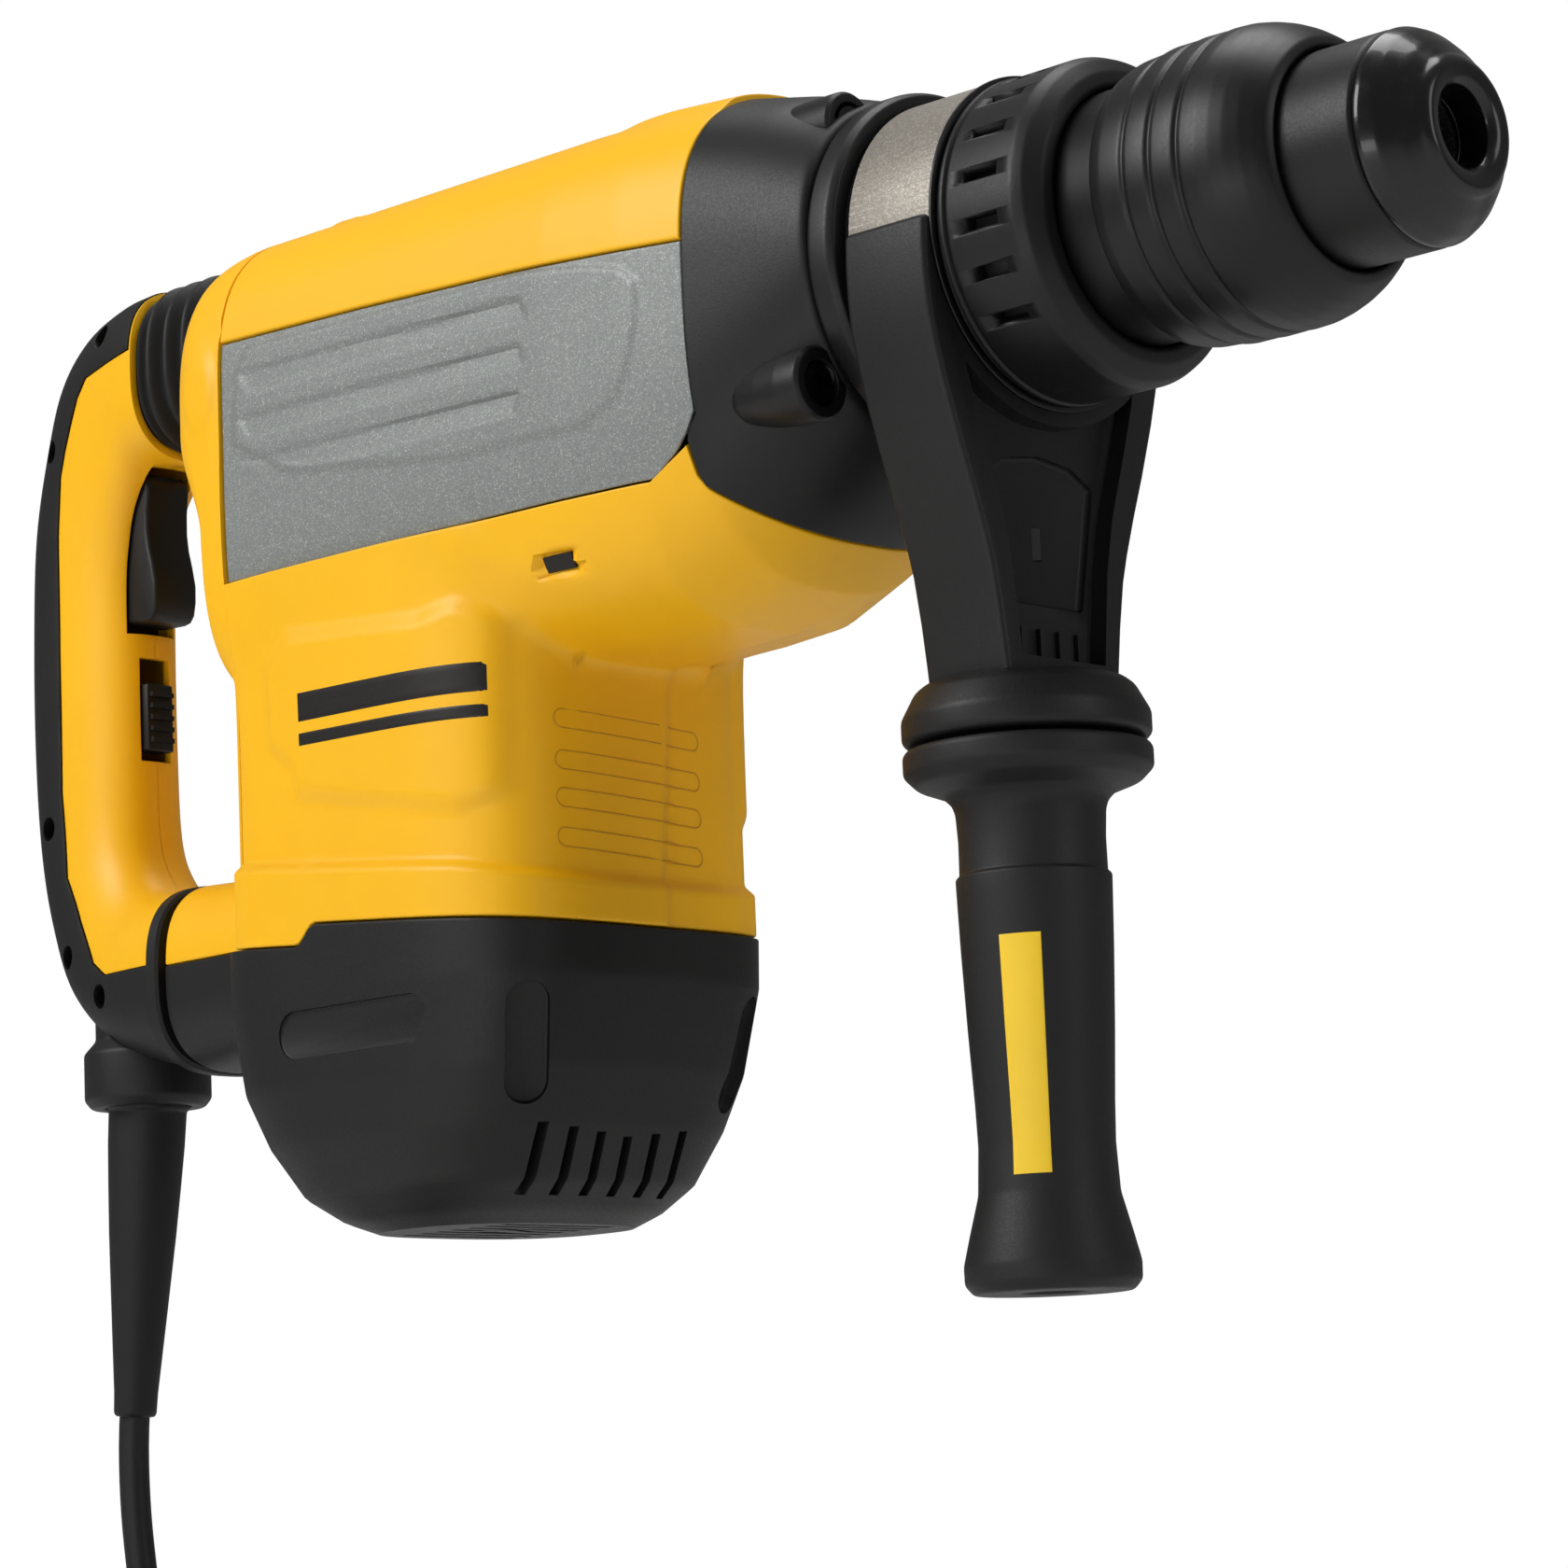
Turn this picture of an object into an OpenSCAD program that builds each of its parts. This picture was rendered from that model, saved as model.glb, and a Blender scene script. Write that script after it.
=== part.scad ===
// Rotary hammer with a D-shaped rear handle, a vertical motor and a swivelling side handle.
// Millimetres. The origin is the middle of the rear grip, +X runs forward along the tool,
// +Z is up and +Y is the tool's left. The bit spindle lies above the grip, along +X.

/* [Spindle line] */
// Height of the spindle axis above the middle of the rear grip
axis_z = 45; // [43:1:47]
// Distance from the middle of the rear grip to the tip of the nose
nose_x = 508; // [507:1:510]
// Radius of the tool bore
bore_r = 9.05; // [9.02:0.01:9.1]

/* [Housing] */
// Half width of the housing
half_w = 54; // [53:1:55]
// Height of the flat top of the housing
top_z = 100; // [99:1:101]
// Wall thickness of the housing shells
wall = 3; // [2.5:0.5:3.5]
// Radius of the collar that the side handle clamps on
collar_r = 40.5; // [40:0.5:41]

/* [Rear handle] */
// Wall thickness of the handle shells
handle_wall = 3; // [2.5:0.5:3]
// Diameter of the mains cord
cord_d = 9; // [8.5:0.5:9.5]

/* [Drive] */
// Tooth module of the spur gears
gear_m = 1.5; // [1.5:0.1:1.5]
// Teeth of the motor pinion
pinion_teeth = 12; // [12:1:12]
// Teeth of the crank gear
crank_teeth = 44; // [44:1:44]
// Teeth of the gear on the layshaft
lay_teeth = 20; // [20:1:20]
// Throw of the crank, half the piston's stroke
crank_throw = 15; // [14:1:15]
// Distance between the crank pin and the piston pin
rod_length = 48; // [48:1:48]

/* [Side handle] */
// Distance from the middle of the rear grip to the side handle's axis
side_x = 363.5; // [363:0.5:364]

/* [Hidden] */

FN = 96;                 // segments of a round part
RING = 32;               // points round a lofted section
GAP = 0.15;              // seam between two shells of one body
crank_x = 205;           // crank axis
motor_x = crank_x - gear_m*(pinion_teeth + crank_teeth)/2;
lay_x = crank_x + gear_m*(crank_teeth + lay_teeth)/2;
gear_z = -2;             // underside of the spur gears
gear_h = 10;             // their face width
tube_r = 21;             // outside of the hammer tube
tube_bore = 18.02;       // inside of the hammer tube
piston_x = crank_x - crank_throw + rod_length;
fit = 0.05;              // radial clearance of a running fit

pivot = [80, -105];      // rear handle's pivot in the XZ plane
floor_z = -362;          // surface that the coiled cord lies on
coil_c = [47.6, -45];      // middle of the coiled cord
coil_mean_r = 50;        // mean radius of its turns
coil_half = 18.5;        // half the side of the bundle of turns
tie_t = 1.5;             // thickness of the coil's tie

yellow = [0.96, 0.72, 0.03];
black = [0.08, 0.08, 0.085];
grey = [0.43, 0.46, 0.46];
steel = [0.62, 0.63, 0.65];
strap_metal = [0.47, 0.44, 0.40];
alloy = [0.70, 0.71, 0.73];
copper = [0.72, 0.42, 0.22];
brass = [0.78, 0.62, 0.30];

// ---- helpers ----

// Turns a profile of [radius, x] points round the spindle axis
module spun(profile) translate([0, 0, axis_z]) rotate([0, 90, 0]) rotate_extrude($fn = FN) polygon(profile);

// Turns a profile of [radius, z] points round a vertical axis
module stood(x, y, profile) translate([x, y, 0]) rotate_extrude($fn = FN) polygon(profile);

module bar_x(x0, x1, r, y = 0, z = axis_z, seg = FN)
  translate([x0, y, z]) rotate([0, 90, 0]) cylinder(h = x1 - x0, r = r, $fn = seg);

module bar_y(y0, y1, r, x, z, seg = FN)
  translate([x, y0, z]) rotate([-90, 0, 0]) cylinder(h = y1 - y0, r = r, $fn = seg);

module bar_z(z0, z1, r, x, y = 0, seg = FN)
  translate([x, y, z0]) cylinder(h = z1 - z0, r = r, $fn = seg);

// A slab between two corners
module slab(low, high) translate(low) cube(high - low);

// A prism across the whole width, from an outline of [x, z] points
module side_prism(outline, y0 = -90, y1 = 90)
  translate([0, y1, 0]) rotate([90, 0, 0]) linear_extrude(height = y1 - y0) polygon(outline);

// A closed solid through rings of equal length
module loft(rings) {
  n = len(rings[0]);
  last = len(rings) - 1;
  polyhedron(
    points = [for (ring = rings) each ring],
    faces = concat(
      [[for (i = [0:n-1]) i]],
      [for (k = [0:last-1]) for (i = [0:n-1]) [k*n + i, (k+1)*n + i, (k+1)*n + (i+1)%n, k*n + (i+1)%n]],
      [[for (i = [n-1:-1:0]) last*n + i]]),
    convexity = 6);
}

function bend(v, power) = sign(v)*pow(abs(v), 2/power);

// ---- outer form of the housing ----

// Section of the gear housing across X: half width, top, bottom, and how square the two halves are
function case_ring(x, w, zt, zb, up, down, g) = [for (i = [0:RING-1])
  let (a = 360*i/RING, c = cos(a), s = sin(a), zc = 48)
  [x, (w - g)*bend(c, s >= 0 ? up : down), zc + bend(s, s >= 0 ? up : down)*(s >= 0 ? zt - g - zc : zc - zb - g)]];

// Stations of the gear housing: x, half width, top, bottom, squareness above and below
case_stations = [
  [96, half_w - 6, top_z - 7, -28, 2.8, 5],
  [104, half_w - 1, top_z - 2, -34, 2.9, 5],
  [116, half_w, top_z, -38, 2.9, 5],
  [252, half_w, top_z, -38, 2.9, 3.4],
  [278, half_w - 1, top_z, -37, 2.8, 3.0],
  [300, half_w - 3, top_z - 1, -30, 2.7, 2.7],
  [318, half_w - 6, top_z - 4, -17, 2.4, 2.4],
  [338, half_w - 9, top_z - 10, 0, 2.1, 2.1]];

module case_form(g, grow = 0) loft([for (s = case_stations)
  case_ring(s[0] + (s[0] < 100 ? g : 0) + (s[0] > 330 ? grow : 0), s[1], s[2], s[3], s[4], s[5], g)]);

// Section of the motor housing across Z: rear and front ends, half width, squareness
function motor_ring(z, xr, xf, w, power, g) = [for (i = [0:RING-1])
  let (a = 360*i/RING, half = (xf - xr)/2 - g)
  [(xf + xr)/2 + half*bend(cos(a), power), (w - g)*bend(sin(a), power), z]];

// Height of the joint between the motor housing and its end cap, which drops towards the front
function cap_joint(x) = -104 - 0.085*(x - 104);

motor_rear = 104;
motor_front = 229;
motor_stations = [
  [-122, motor_rear - 2, motor_front + 3, half_w + 2.5, 4.2],
  [-108, motor_rear - 1, motor_front + 3, half_w + 2.5, 4.2],
  [-99, motor_rear, motor_front, half_w - 0.6, 4.2],
  [-15, motor_rear + 0.7, motor_front, half_w - 0.6, 4.2]];

module motor_form(g) loft([for (s = motor_stations) motor_ring(s[0], s[1], s[2], s[3], s[4], g)]);

module housing_form(g, grow = 0) {
  case_form(g, grow);
  motor_form(g);
}

// The wall of the whole housing, cut to a zone by its children
module housing_wall(t = wall) intersection() {
  difference() {
    housing_form(0);
    housing_form(t, 1);
  }
  union() children();
}

// Seams of the shells, as outlines of [x, z]
rear_seam = 121;
case_seam = 300;
panel_top = [[rear_seam, 64], [180, 62], [240, 59], [case_seam, 55]];
panel_low = -4;
cap_step_x = 150;        // the end cap rises a little forward of this

module above_panels() side_prism(concat([for (p = panel_top) [p[0], p[1] + GAP]],
  [[case_seam - GAP, 130], [rear_seam + GAP, 130]]));

module panel_zone(y0, y1) intersection() {
  side_prism(concat(panel_top, [[case_seam - GAP, 10.5], [case_seam - 4.5, 5], [284, panel_low],
    [rear_seam + GAP, panel_low]]), y0, y1);
  side_prism([[rear_seam + GAP, -20], [case_seam - GAP, -20], [case_seam - GAP, 80], [rear_seam + GAP, 80]], y0, y1);
}

module top_cover() color(yellow) difference() {
  union() {
    housing_wall() above_panels();
    // bosses that take the cover's screws
    intersection() {
      for (x = [175, 249], side = [-1, 1]) bar_z(74, 99, 7, x, side*30);
      case_form(0.5);
    }
  }
  for (x = [175, 249], side = [-1, 1]) bar_z(60, 110, 2.1, x, side*30);
  for (x = [175, 249], side = [-1, 1]) bar_z(89, 110, 5, x, side*30);
}

// The rear cover carries the upper half of the lower arm
module rear_cover() color(yellow) {
  difference() {
    housing_wall() side_prism([[80, -100], [rear_seam - GAP, -100], [rear_seam - GAP, 120], [80, 120]]);
    bar_x(80, 130, 5.05, 0, 77);
    for (z = [-68:7:-40]) slab([90, -26, z], [112, 26, z + 3]);
  }
  arm_upper();
}

module motor_housing() color(yellow) difference() {
  intersection() {
    difference() {
      union() {
        case_form(0);
        motor_form(0);
      }
      case_form(wall, 1);
      motor_form(wall);
    }
    union() {
      side_prism([[rear_seam + GAP, cap_joint(rear_seam)], [cap_step_x, cap_joint(cap_step_x) + 0.5],
        [cap_step_x + 8, cap_joint(cap_step_x) + 6], [240, cap_joint(240) + 6],
        [240, -50], [330, -50], [330, -60], [case_seam + 20, -24], [case_seam - 6, 0],
        [284, panel_low - GAP], [rear_seam + GAP, panel_low - GAP]]);
      side_prism([[90, cap_joint(90)], [rear_seam, cap_joint(rear_seam)], [rear_seam, -100.2], [90, -100.2]]);
    }
  }
  // the gear case takes over forward of this line
  side_prism([[case_seam - 6, 6], [case_seam - 4, -8], [322, -28], [345, -34], [345, 20]]);
}

module side_panel_right() color(grey) housing_wall() panel_zone(-90, -30);

module side_panel_left() color(grey) difference() {
  housing_wall() panel_zone(30, 90);
  bar_y(30, 90, 6.2, knob_at[0], knob_at[1]);
  bar_y(30, 90, 3.2, dial_at[0], dial_at[1]);
}

// ---- controls on the left side ----

knob_at = [232, 24];     // mode selector, [x, z]
dial_at = [152, 24];     // speed dial, [x, z]

module mode_knob() color(black) {
  bar_y(42, 55, 6.15 - fit, knob_at[0], knob_at[1]);
  difference() {
    bar_y(54.6, 59, 21, knob_at[0], knob_at[1]);
    for (a = [0:30:330]) bar_y(57, 60, 1.6, knob_at[0] + 21*cos(a), knob_at[1] + 21*sin(a), 24);
  }
  translate([knob_at[0], 58.5, knob_at[1]]) rotate([0, 45, 0]) translate([-17, 0, -4.5]) cube([34, 9, 9]);
}

module speed_dial() color(black) {
  bar_y(44, 55, 3.15 - fit, dial_at[0], dial_at[1]);
  difference() {
    bar_y(54.6, 58.5, 12, dial_at[0], dial_at[1]);
    for (a = [0:20:340]) bar_y(54, 60, 0.8, dial_at[0] + 12*cos(a), dial_at[1] + 12*sin(a), 24);
    translate([dial_at[0] - 9, 57.5, dial_at[1] - 0.7]) cube([18, 2, 1.4]);
  }
}

module electronics() color([0.13, 0.2, 0.16]) slab([106.5, -32, 26], [126, 32, 84]);

module gear_case() color(black) difference() {
  union() {
    intersection() {
      difference() {
        case_form(0);
        case_form(wall + 1, 1);
      }
      side_prism([[case_seam + GAP, 120], [case_seam + GAP, 10], [case_seam - 4, 5], [case_seam - 3, -7],
        [322, -27.5], [345, -33.5], [345, 120]]);
    }
    // bosses of the four long bolts
    for (side = [-1, 1]) {
      bar_x(304, 336, 9, side*24, 81, 48);
      bar_x(312, 337, 9.5, side*40, 12, 48);
    }
  }
  for (side = [-1, 1]) {
    bar_x(300, 340, 3.05, side*24, 81);
    bar_x(300, 340, 3.05, side*40, 12);
    bar_x(331, 345, 6, side*24, 81);
    bar_x(331, 345, 6, side*40, 12);
  }
  bar_x(298, 345, 33);
}

// ---- end cap below the motor ----

cap_stations = [
  [-184.5, 142, 196, 36, 2.6],
  [-181, 133, 203, 42, 2.8],
  [-174, 123, 211, 48, 3.2],
  [-160, 113.5, 219, 52.5, 3.6],
  [-145, 107, 225, 55, 4],
  [-122, 103, 231, 56.2, 4.2],
  [-96, 103, 232, 56.5, 4.2]];

module cap_form(g) loft([for (s = cap_stations) motor_ring(s[0] + (s[0] < -180 ? g : 0), s[1], s[2], s[3], s[4], g)]);

// The end cap carries the lower half of the lower arm
module motor_cap() color(black) {
  cap_shell();
  difference() {
    arm_lower();
    cap_form(wall - 0.5);
  }
}

module cap_shell() difference() {
  intersection() {
    difference() {
      cap_form(0);
      cap_form(wall);
    }
    side_prism([[80, -200], [250, -200], [250, cap_joint(250) + 6 - GAP], [cap_step_x + 8, cap_joint(cap_step_x) + 6 - GAP],
      [cap_step_x, cap_joint(cap_step_x) - GAP], [80, cap_joint(80) - GAP]]);
  }
  // air slots in the front lower corners and in the floor
  for (k = [0:4], side = [-1, 1]) translate([212 - 7*k, side*44, -170]) rotate([side*34, -20, 0])
    cube([3, 40, 22], center = true);
  for (k = [0:5]) slab([148 + 8*k, -26, -190], [151.5 + 8*k, 26, -178]);
}

// ---- lower arm between the motor housing and the rear handle ----

function arm_ring(x, zt, zb, w, g) = [for (i = [0:RING-1])
  let (a = 360*i/RING)
  [x, (w - g)*bend(cos(a), 2.8), (zt + zb)/2 + ((zt - zb)/2 - g)*bend(sin(a), 2.8)]];

module arm_form(g, grow = 0) loft([
  arm_ring(58.4 - grow, -78, -129.5, 27, g),
  arm_ring(102.5 + grow, -76, -131, 29, g)]);

module arm_wall() difference() {
  arm_form(0);
  arm_form(wall, 1);
  bar_y(-40, 40, 4.02, pivot[0], pivot[1]);
}

module arm_upper() intersection() {
  arm_wall();
  slab([50, -40, -101.2], [110, 40, -60]);
}

module arm_lower() intersection() {
  arm_wall();
  slab([50, -40, -140], [110, 40, -101.2 - GAP]);
}

// ---- front of the gear housing ----

module collar_flange() color(black) spun([[33, 338.2], [44.5, 338.2], [46, 340], [46, 345.5], [44.8, 347.5],
  [collar_r + 0.2, 347.5], [collar_r + 0.2, 345], [33, 345]]);

module front_barrel() color(alloy) spun([[29.2, 304], [32.8, 304], [32.8, 345.2], [collar_r, 345.2],
  [collar_r, 380], [28, 380], [28, 401], [22.3, 401], [22.3, 384], [25, 381], [25, 330], [29.2, 330]]);

module vented_ring() color(black) difference() {
  spun([[28.2, 380.2], [41, 380.2], [41.4, 381.5], [41.4, 402.5], [40.2, 405.5], [36.5, 408.5], [33.5, 409.3],
    [32.3, 408.6], [32.3, 383.5], [28.2, 383.5]]);
  for (a = [-40:17:62]) for (side = [-1, 1])
    translate([392.5, 0, axis_z]) rotate([side*(90 - a), 0, 0]) translate([0, 0, 38])
      cube([12, 4, 16], center = true);
}

// ---- rear handle ----

// Stations of the D-shaped handle: outer point, inner point (both [x, z]) and half width
handle_stations = [
  [[44, 103], [44, 51], 24],
  [[30, 102], [36, 50], 22.5],
  [[11, 97], [31, 45], 20],
  [[-4, 86], [27, 37], 18],
  [[-13, 68], [25, 28], 17],
  [[-21, 40], [24, 18], 16.5],
  [[-24, 5], [24, 0], 16],
  [[-24, -30], [24, -32], 16],
  [[-21, -60], [24.5, -56], 16.5],
  [[-14, -84], [27.5, -67], 18],
  [[-2, -105], [34, -74.5], 21],
  [[20, -121], [43, -77.5], 25],
  [[51.8, -130], [51.8, -78], 27.5]];

function handle_ring(s, g) = let (half = norm(s[0] - s[1])/2, mid = (s[0] + s[1])/2, u = (s[0] - s[1])/(2*half))
  [for (i = [0:23]) let (a = 360*i/24, p = mid + u*(half - g)*bend(cos(a), 2.7))
    [p[0], (s[2] - g)*bend(sin(a), 2.7), p[1]]];

module handle_form(g) loft([for (s = handle_stations) handle_ring(s, g)]);

// The zone that the rubber covers, as [x, z]
rubber_zone = [[-40, 120], [43, 120], [43, 83], [17.5, 80], [8, 68.5], [1, 53], [-1, 35], [-2, -42], [1, -68],
  [19.5, -96], [27, -100.3], [60, -100.3], [60, -150], [-40, -150]];

handle_screw_points = [[25, 91], [-5, 62], [-9, -52], [3, -92], [24, -106]];

module handle_hollow() {
  handle_form(handle_wall);
  // open ends of the two arms
  slab([43, -19, 56], [50, 19, 98]);
  slab([50, -22, -125], [56, 22, -83]);
}

module handle_openings() {
  slab([12, -8.7, 3], [40, 8.7, 51.5]);      // trigger
  slab([12, -5.4, -35], [40, 5.4, -4]);      // lock slide
  bar_z(-160, -110.4, 15.05, 16, 0);         // cord socket
  bar_z(-160, -116.9, 18.6, 16, 0);          // its flange
}

module handle_shell(side) difference() {
  union() {
    difference() {
      handle_form(0);
      handle_hollow();
    }
    intersection() {
      handle_form(0.5);
      for (p = handle_screw_points) bar_y(-30, 30, 4.6, p[0], p[1], 32);
    }
  }
  handle_openings();
  side_prism(rubber_zone);
  for (p = handle_screw_points) bar_y(-60, 60, 1.9, p[0], p[1], 32);
  slab([-60, side > 0 ? -60 : 0, -160], [70, side > 0 ? 0 : 60, 140]);
}

module handle_shell_right() color(yellow) translate([0, -GAP/2, 0]) handle_shell(-1);

module handle_shell_left() color(yellow) translate([0, GAP/2, 0]) handle_shell(1);

module handle_overmould() color(black) {
  arm_band();
  rubber_skin();
}

module rubber_skin() difference() {
  intersection() {
    difference() {
      union() {
        difference() {
          handle_form(0);
          handle_hollow();
        }
        intersection() {
          handle_form(0.5);
          for (p = handle_screw_points) bar_y(-30, 30, 4.6, p[0], p[1], 32);
        }
      }
      handle_openings();
    }
    side_prism(rubber_zone);
  }
  for (p = handle_screw_points) {
    bar_y(-60, 60, 1.9, p[0], p[1], 32);
    for (side = [-1, 1]) bar_y(side > 0 ? 9 : -60, side > 0 ? 60 : -9, 3.6, p[0], p[1], 32);
  }
}

module handle_screws() color(steel) for (p = handle_screw_points) {
  bar_y(-9, 8, 1.8, p[0], p[1], 32);
  difference() {
    bar_y(-11.5, -9.05, 3.4, p[0], p[1], 32);
    bar_y(-12.5, -10.3, 1.5, p[0], p[1], 6);
  }
}

// Rubber lip that closes the joint of the lower arm
module arm_band() intersection() {
  difference() {
    loft([arm_ring(52, -76, -131.2, 28.6, 0), arm_ring(56, -76, -131.2, 28.6, 0)]);
    loft([arm_ring(51, -82, -125, 22.5, 0), arm_ring(57, -82, -125, 22.5, 0)]);
  }
  slab([51.9, -40, -140], [57, 40, -60]);
}

module pivot_arm() color(alloy) difference() {
  union() {
    slab([31.6, -8, -116], [pivot[0], 8, -94]);
    bar_y(-8, 8, 11, pivot[0], pivot[1]);
  }
  bar_y(-20, 20, 4 + fit, pivot[0], pivot[1]);
  bar_y(-20, 20, 5, 24, -106, 32);
}

module pivot_pin() color(steel) bar_y(-25, 25, 4, pivot[0], pivot[1]);

module trigger() color(black) difference() {
  union() {
    side_prism([[18, 6], [31, 6], [33.5, 9], [34, 18], [31, 29], [30.5, 38], [32, 46], [30, 50], [18, 50]], -8, 8);
    bar_y(-5, 5, 3, 19, 49, 48);
  }
  bar_y(-9, 9, 1.2, 19, 49, 48);
}

module lock_slide() color(black) {
  slab([20, -4.8, -32], [25.6, 4.8, -12]);
  for (k = [0:3]) slab([25.5, -4, -30 + 4.4*k], [27, 4, -28 + 4.4*k]);
}

module switch_module() color([0.16, 0.16, 0.17]) {
  slab([-12, -10.5, 0], [11.3, 10.5, 45]);
  slab([-8, -7, -42], [4, 7, -0.4]);
}

// Rubber bellows round the upper damper
module damper_bellows() color(black) difference() {
  loft([for (k = [0:12]) let (x = 44.6 + 4*k, r = (k%2 == 1 || k == 12) ? 1 : 0)
    arm_ring(x, 101 + 2.5*r, 53 - 2.5*r, 22 + 2.5*r, 0)]);
  loft([arm_ring(40, 97, 57, 18, 0), arm_ring(96, 97, 57, 18, 0)]);
}

module damper_spring() color(steel) difference() {
  bar_x(50, 94.5, 12, 0, 77);
  bar_x(49, 96, 9.6, 0, 77);
}

module damper_guide() color(steel) difference() {
  union() {
    bar_x(37, 99.5, 5, 0, 77);
    bar_x(99.3, 104, 9, 0, 77);
  }
  bar_x(98, 110, 2.5, 0, 77);
}

// ---- cord and what is on it ----

socket_x = 16;
boot_lean = atan(9/90);

module cord_socket() color(black) stood(socket_x, 0, [[8.2, -110.5], [8.2, -133.4], [12.6, -133.4], [12.6, -137],
  [16.5, -137], [18.5, -134.5], [18.5, -121], [15, -117], [15, -110.5]]);

module strain_relief() color(black) translate([socket_x, 0, -133.7]) rotate([0, boot_lean, 0]) {
  rotate_extrude($fn = FN) polygon([[cord_d/2 + 0.05, 0], [12.2, 0], [12.2, -3.2], [11.4, -4], [11.2, -14], [9.8, -40],
    [6.4, -86], [6.1, -93], [cord_d/2 + 0.05, -93]]);
}

// Route of the stretch that is not coiled, as [x, y, z] points
route = [[7, 0, -222], [6, 0, -230], [5.6, 0, -240], [6.2, 0, -255], [8, 0, -268], [9.8, 0, -279],
  [11, 0, -288.6], [11.2, -1.4, -299], [11.25, -5.4, -308.6], [11.25, -11.7, -316.9], [11.25, -20, -323.2],
  [11.25, -29.6, -327.2], [11.25, -40, -328.6], [11.25, -45, -328.6]];

function unit(v) = v/norm(v);
function tangent(i) = unit(route[min(i + 1, len(route) - 1)] - route[max(i - 1, 0)]);
function route_ring(i, r) = let (t = tangent(i), u = unit(cross(t, [0, 1, 0.3])), w = cross(t, u))
  [for (k = [0:9]) route[i] + r*(cos(36*k)*u + sin(36*k)*w)];

module power_cord() color(black) loft([for (i = [0:len(route)-1]) route_ring(i, cord_d/2)]);

coil_low = floor_z + tie_t;
module cord_coil() color(black) translate([coil_c[0], coil_c[1], coil_low + coil_half])
  rotate_extrude($fn = FN) translate([coil_mean_r, 0]) polygon([for (i = [0:23]) let (a = 15*i)
    [coil_half*bend(cos(a), 5), coil_half*bend(sin(a), 5)]]);

module coil_tie() color([0.12, 0.12, 0.12]) translate([coil_c[0] + coil_mean_r, coil_c[1], coil_low + coil_half])
  difference() {
    cube([2*coil_half + 2*tie_t, 14, 2*coil_half + 2*tie_t], center = true);
    cube([2*coil_half + 0.2, 16, 2*coil_half + 0.2], center = true);
  }

// The plug lies on the coil, across it
plug_z = coil_low + 2*coil_half + 9.3;
plug_at = [coil_c[0] + 20, coil_c[1] - 55];
module plug_body() color(black) translate([plug_at[0], plug_at[1], plug_z]) loft([
  for (s = [[-30, 5.5, 5.5], [-22, 6.5, 6.5], [-12, 9, 7.5], [-4, 17, 9], [16, 18, 9], [20, 17.5, 8.5]])
    [for (i = [0:23]) let (a = 15*i) [s[0], s[1]*bend(cos(a), 3.4), s[2]*bend(sin(a), 3.4)]]]);

module plug_pins() color(brass) for (side = [-1, 1]) translate([plug_at[0], plug_at[1], plug_z]) {
  bar_x(20, 39, 2.4, side*9.5, 0);
}

// ---- side handle ----

strap_r = collar_r + 0.15;
module side_yoke() color(black) difference() {
  union() {
    intersection() {
      translate([side_x - 13.5, 0, 0]) rotate([90, 0, 90]) linear_extrude(height = 27)
        polygon([[-44.2, 46], [-44.4, 30], [-42, 14], [-34.5, -10], [-25, -38], [-20.5, -66], [20.5, -66],
          [25, -38], [34.5, -10], [42, 14], [44.4, 30], [44.2, 46]]);
      slab([side_x - 13.5, -60, -70], [side_x + 13.5, 60, 46]);
    }
    stood(side_x, 0, [[0, -64], [25, -64], [27.5, -66], [31, -72.5], [31, -77.6], [29.5, -79], [0, -79]]);
  }
  bar_x(side_x - 20, side_x + 20, collar_r + 0.25);
  bar_z(-85, 20, 4.1, side_x, 0);
  bar_z(-36, -24, 9, side_x, 0);
  // hollows beside the middle web
  for (side = [-1, 1]) translate([side_x - 5, 0, 0]) rotate([90, 0, 90]) linear_extrude(height = 30)
    polygon([[side*14, -6], [side*31, -6], [side*22, -34], [side*14, -34]]);
}

module side_strap() color(strap_metal) difference() {
  bar_x(side_x - 13.5, side_x + 13.5, strap_r + 1.3);
  bar_x(side_x - 20, side_x + 20, strap_r);
  slab([side_x - 20, -60, -30], [side_x + 20, 60, 46.2]);
}

module clamp_nut() color(steel) difference() {
  bar_z(-34, -26, 7.5, side_x, 0, 6);
  bar_z(-40, -20, 4 + fit, side_x, 0);
}

module clamp_rod() color(steel) {
  bar_z(-150, -20, 4, side_x, 0);
  bar_z(-100, -88, 8, side_x, 0, 6);
}

module grip_core() color([0.15, 0.15, 0.16]) difference() {
  stood(side_x, 0, [[0, -82], [26, -82], [26, -84.5], [12, -86], [12, -206], [0, -206]]);
  bar_z(-151, -80, 4, side_x, 0);
  bar_z(-100.1, -80, 8.05, side_x, 0, 6);
}

module side_grip() color(black) stood(side_x, 0, [[12.05, -86.2], [26.2, -84.7], [26.2, -80.3], [30.2, -80.3],
  [31, -81.5], [31, -86], [28, -89], [21.5, -91.5], [18.6, -96], [18.2, -103], [18.3, -111.5], [19.3, -112.2],
  [18.8, -130], [16.8, -178], [17.4, -190], [20, -200], [21.7, -207], [21.6, -211.5], [19.5, -214],
  [8, -214], [7, -211], [0, -211], [0, -206.2], [12.05, -206.2]]);

// ---- tool holder ----

module nose_cap() color(black) spun([[9.6, nose_x - 2.6], [11.5, nose_x - 0.6], [14.8, nose_x], [16.6, nose_x - 1.4],
  [21, nose_x - 5.5], [24.6, nose_x - 9.5], [26.2, nose_x - 13], [26, nose_x - 14.6], [15.3, nose_x - 14.6],
  [15.3, nose_x - 11], [9.6, nose_x - 11]]);

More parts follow.
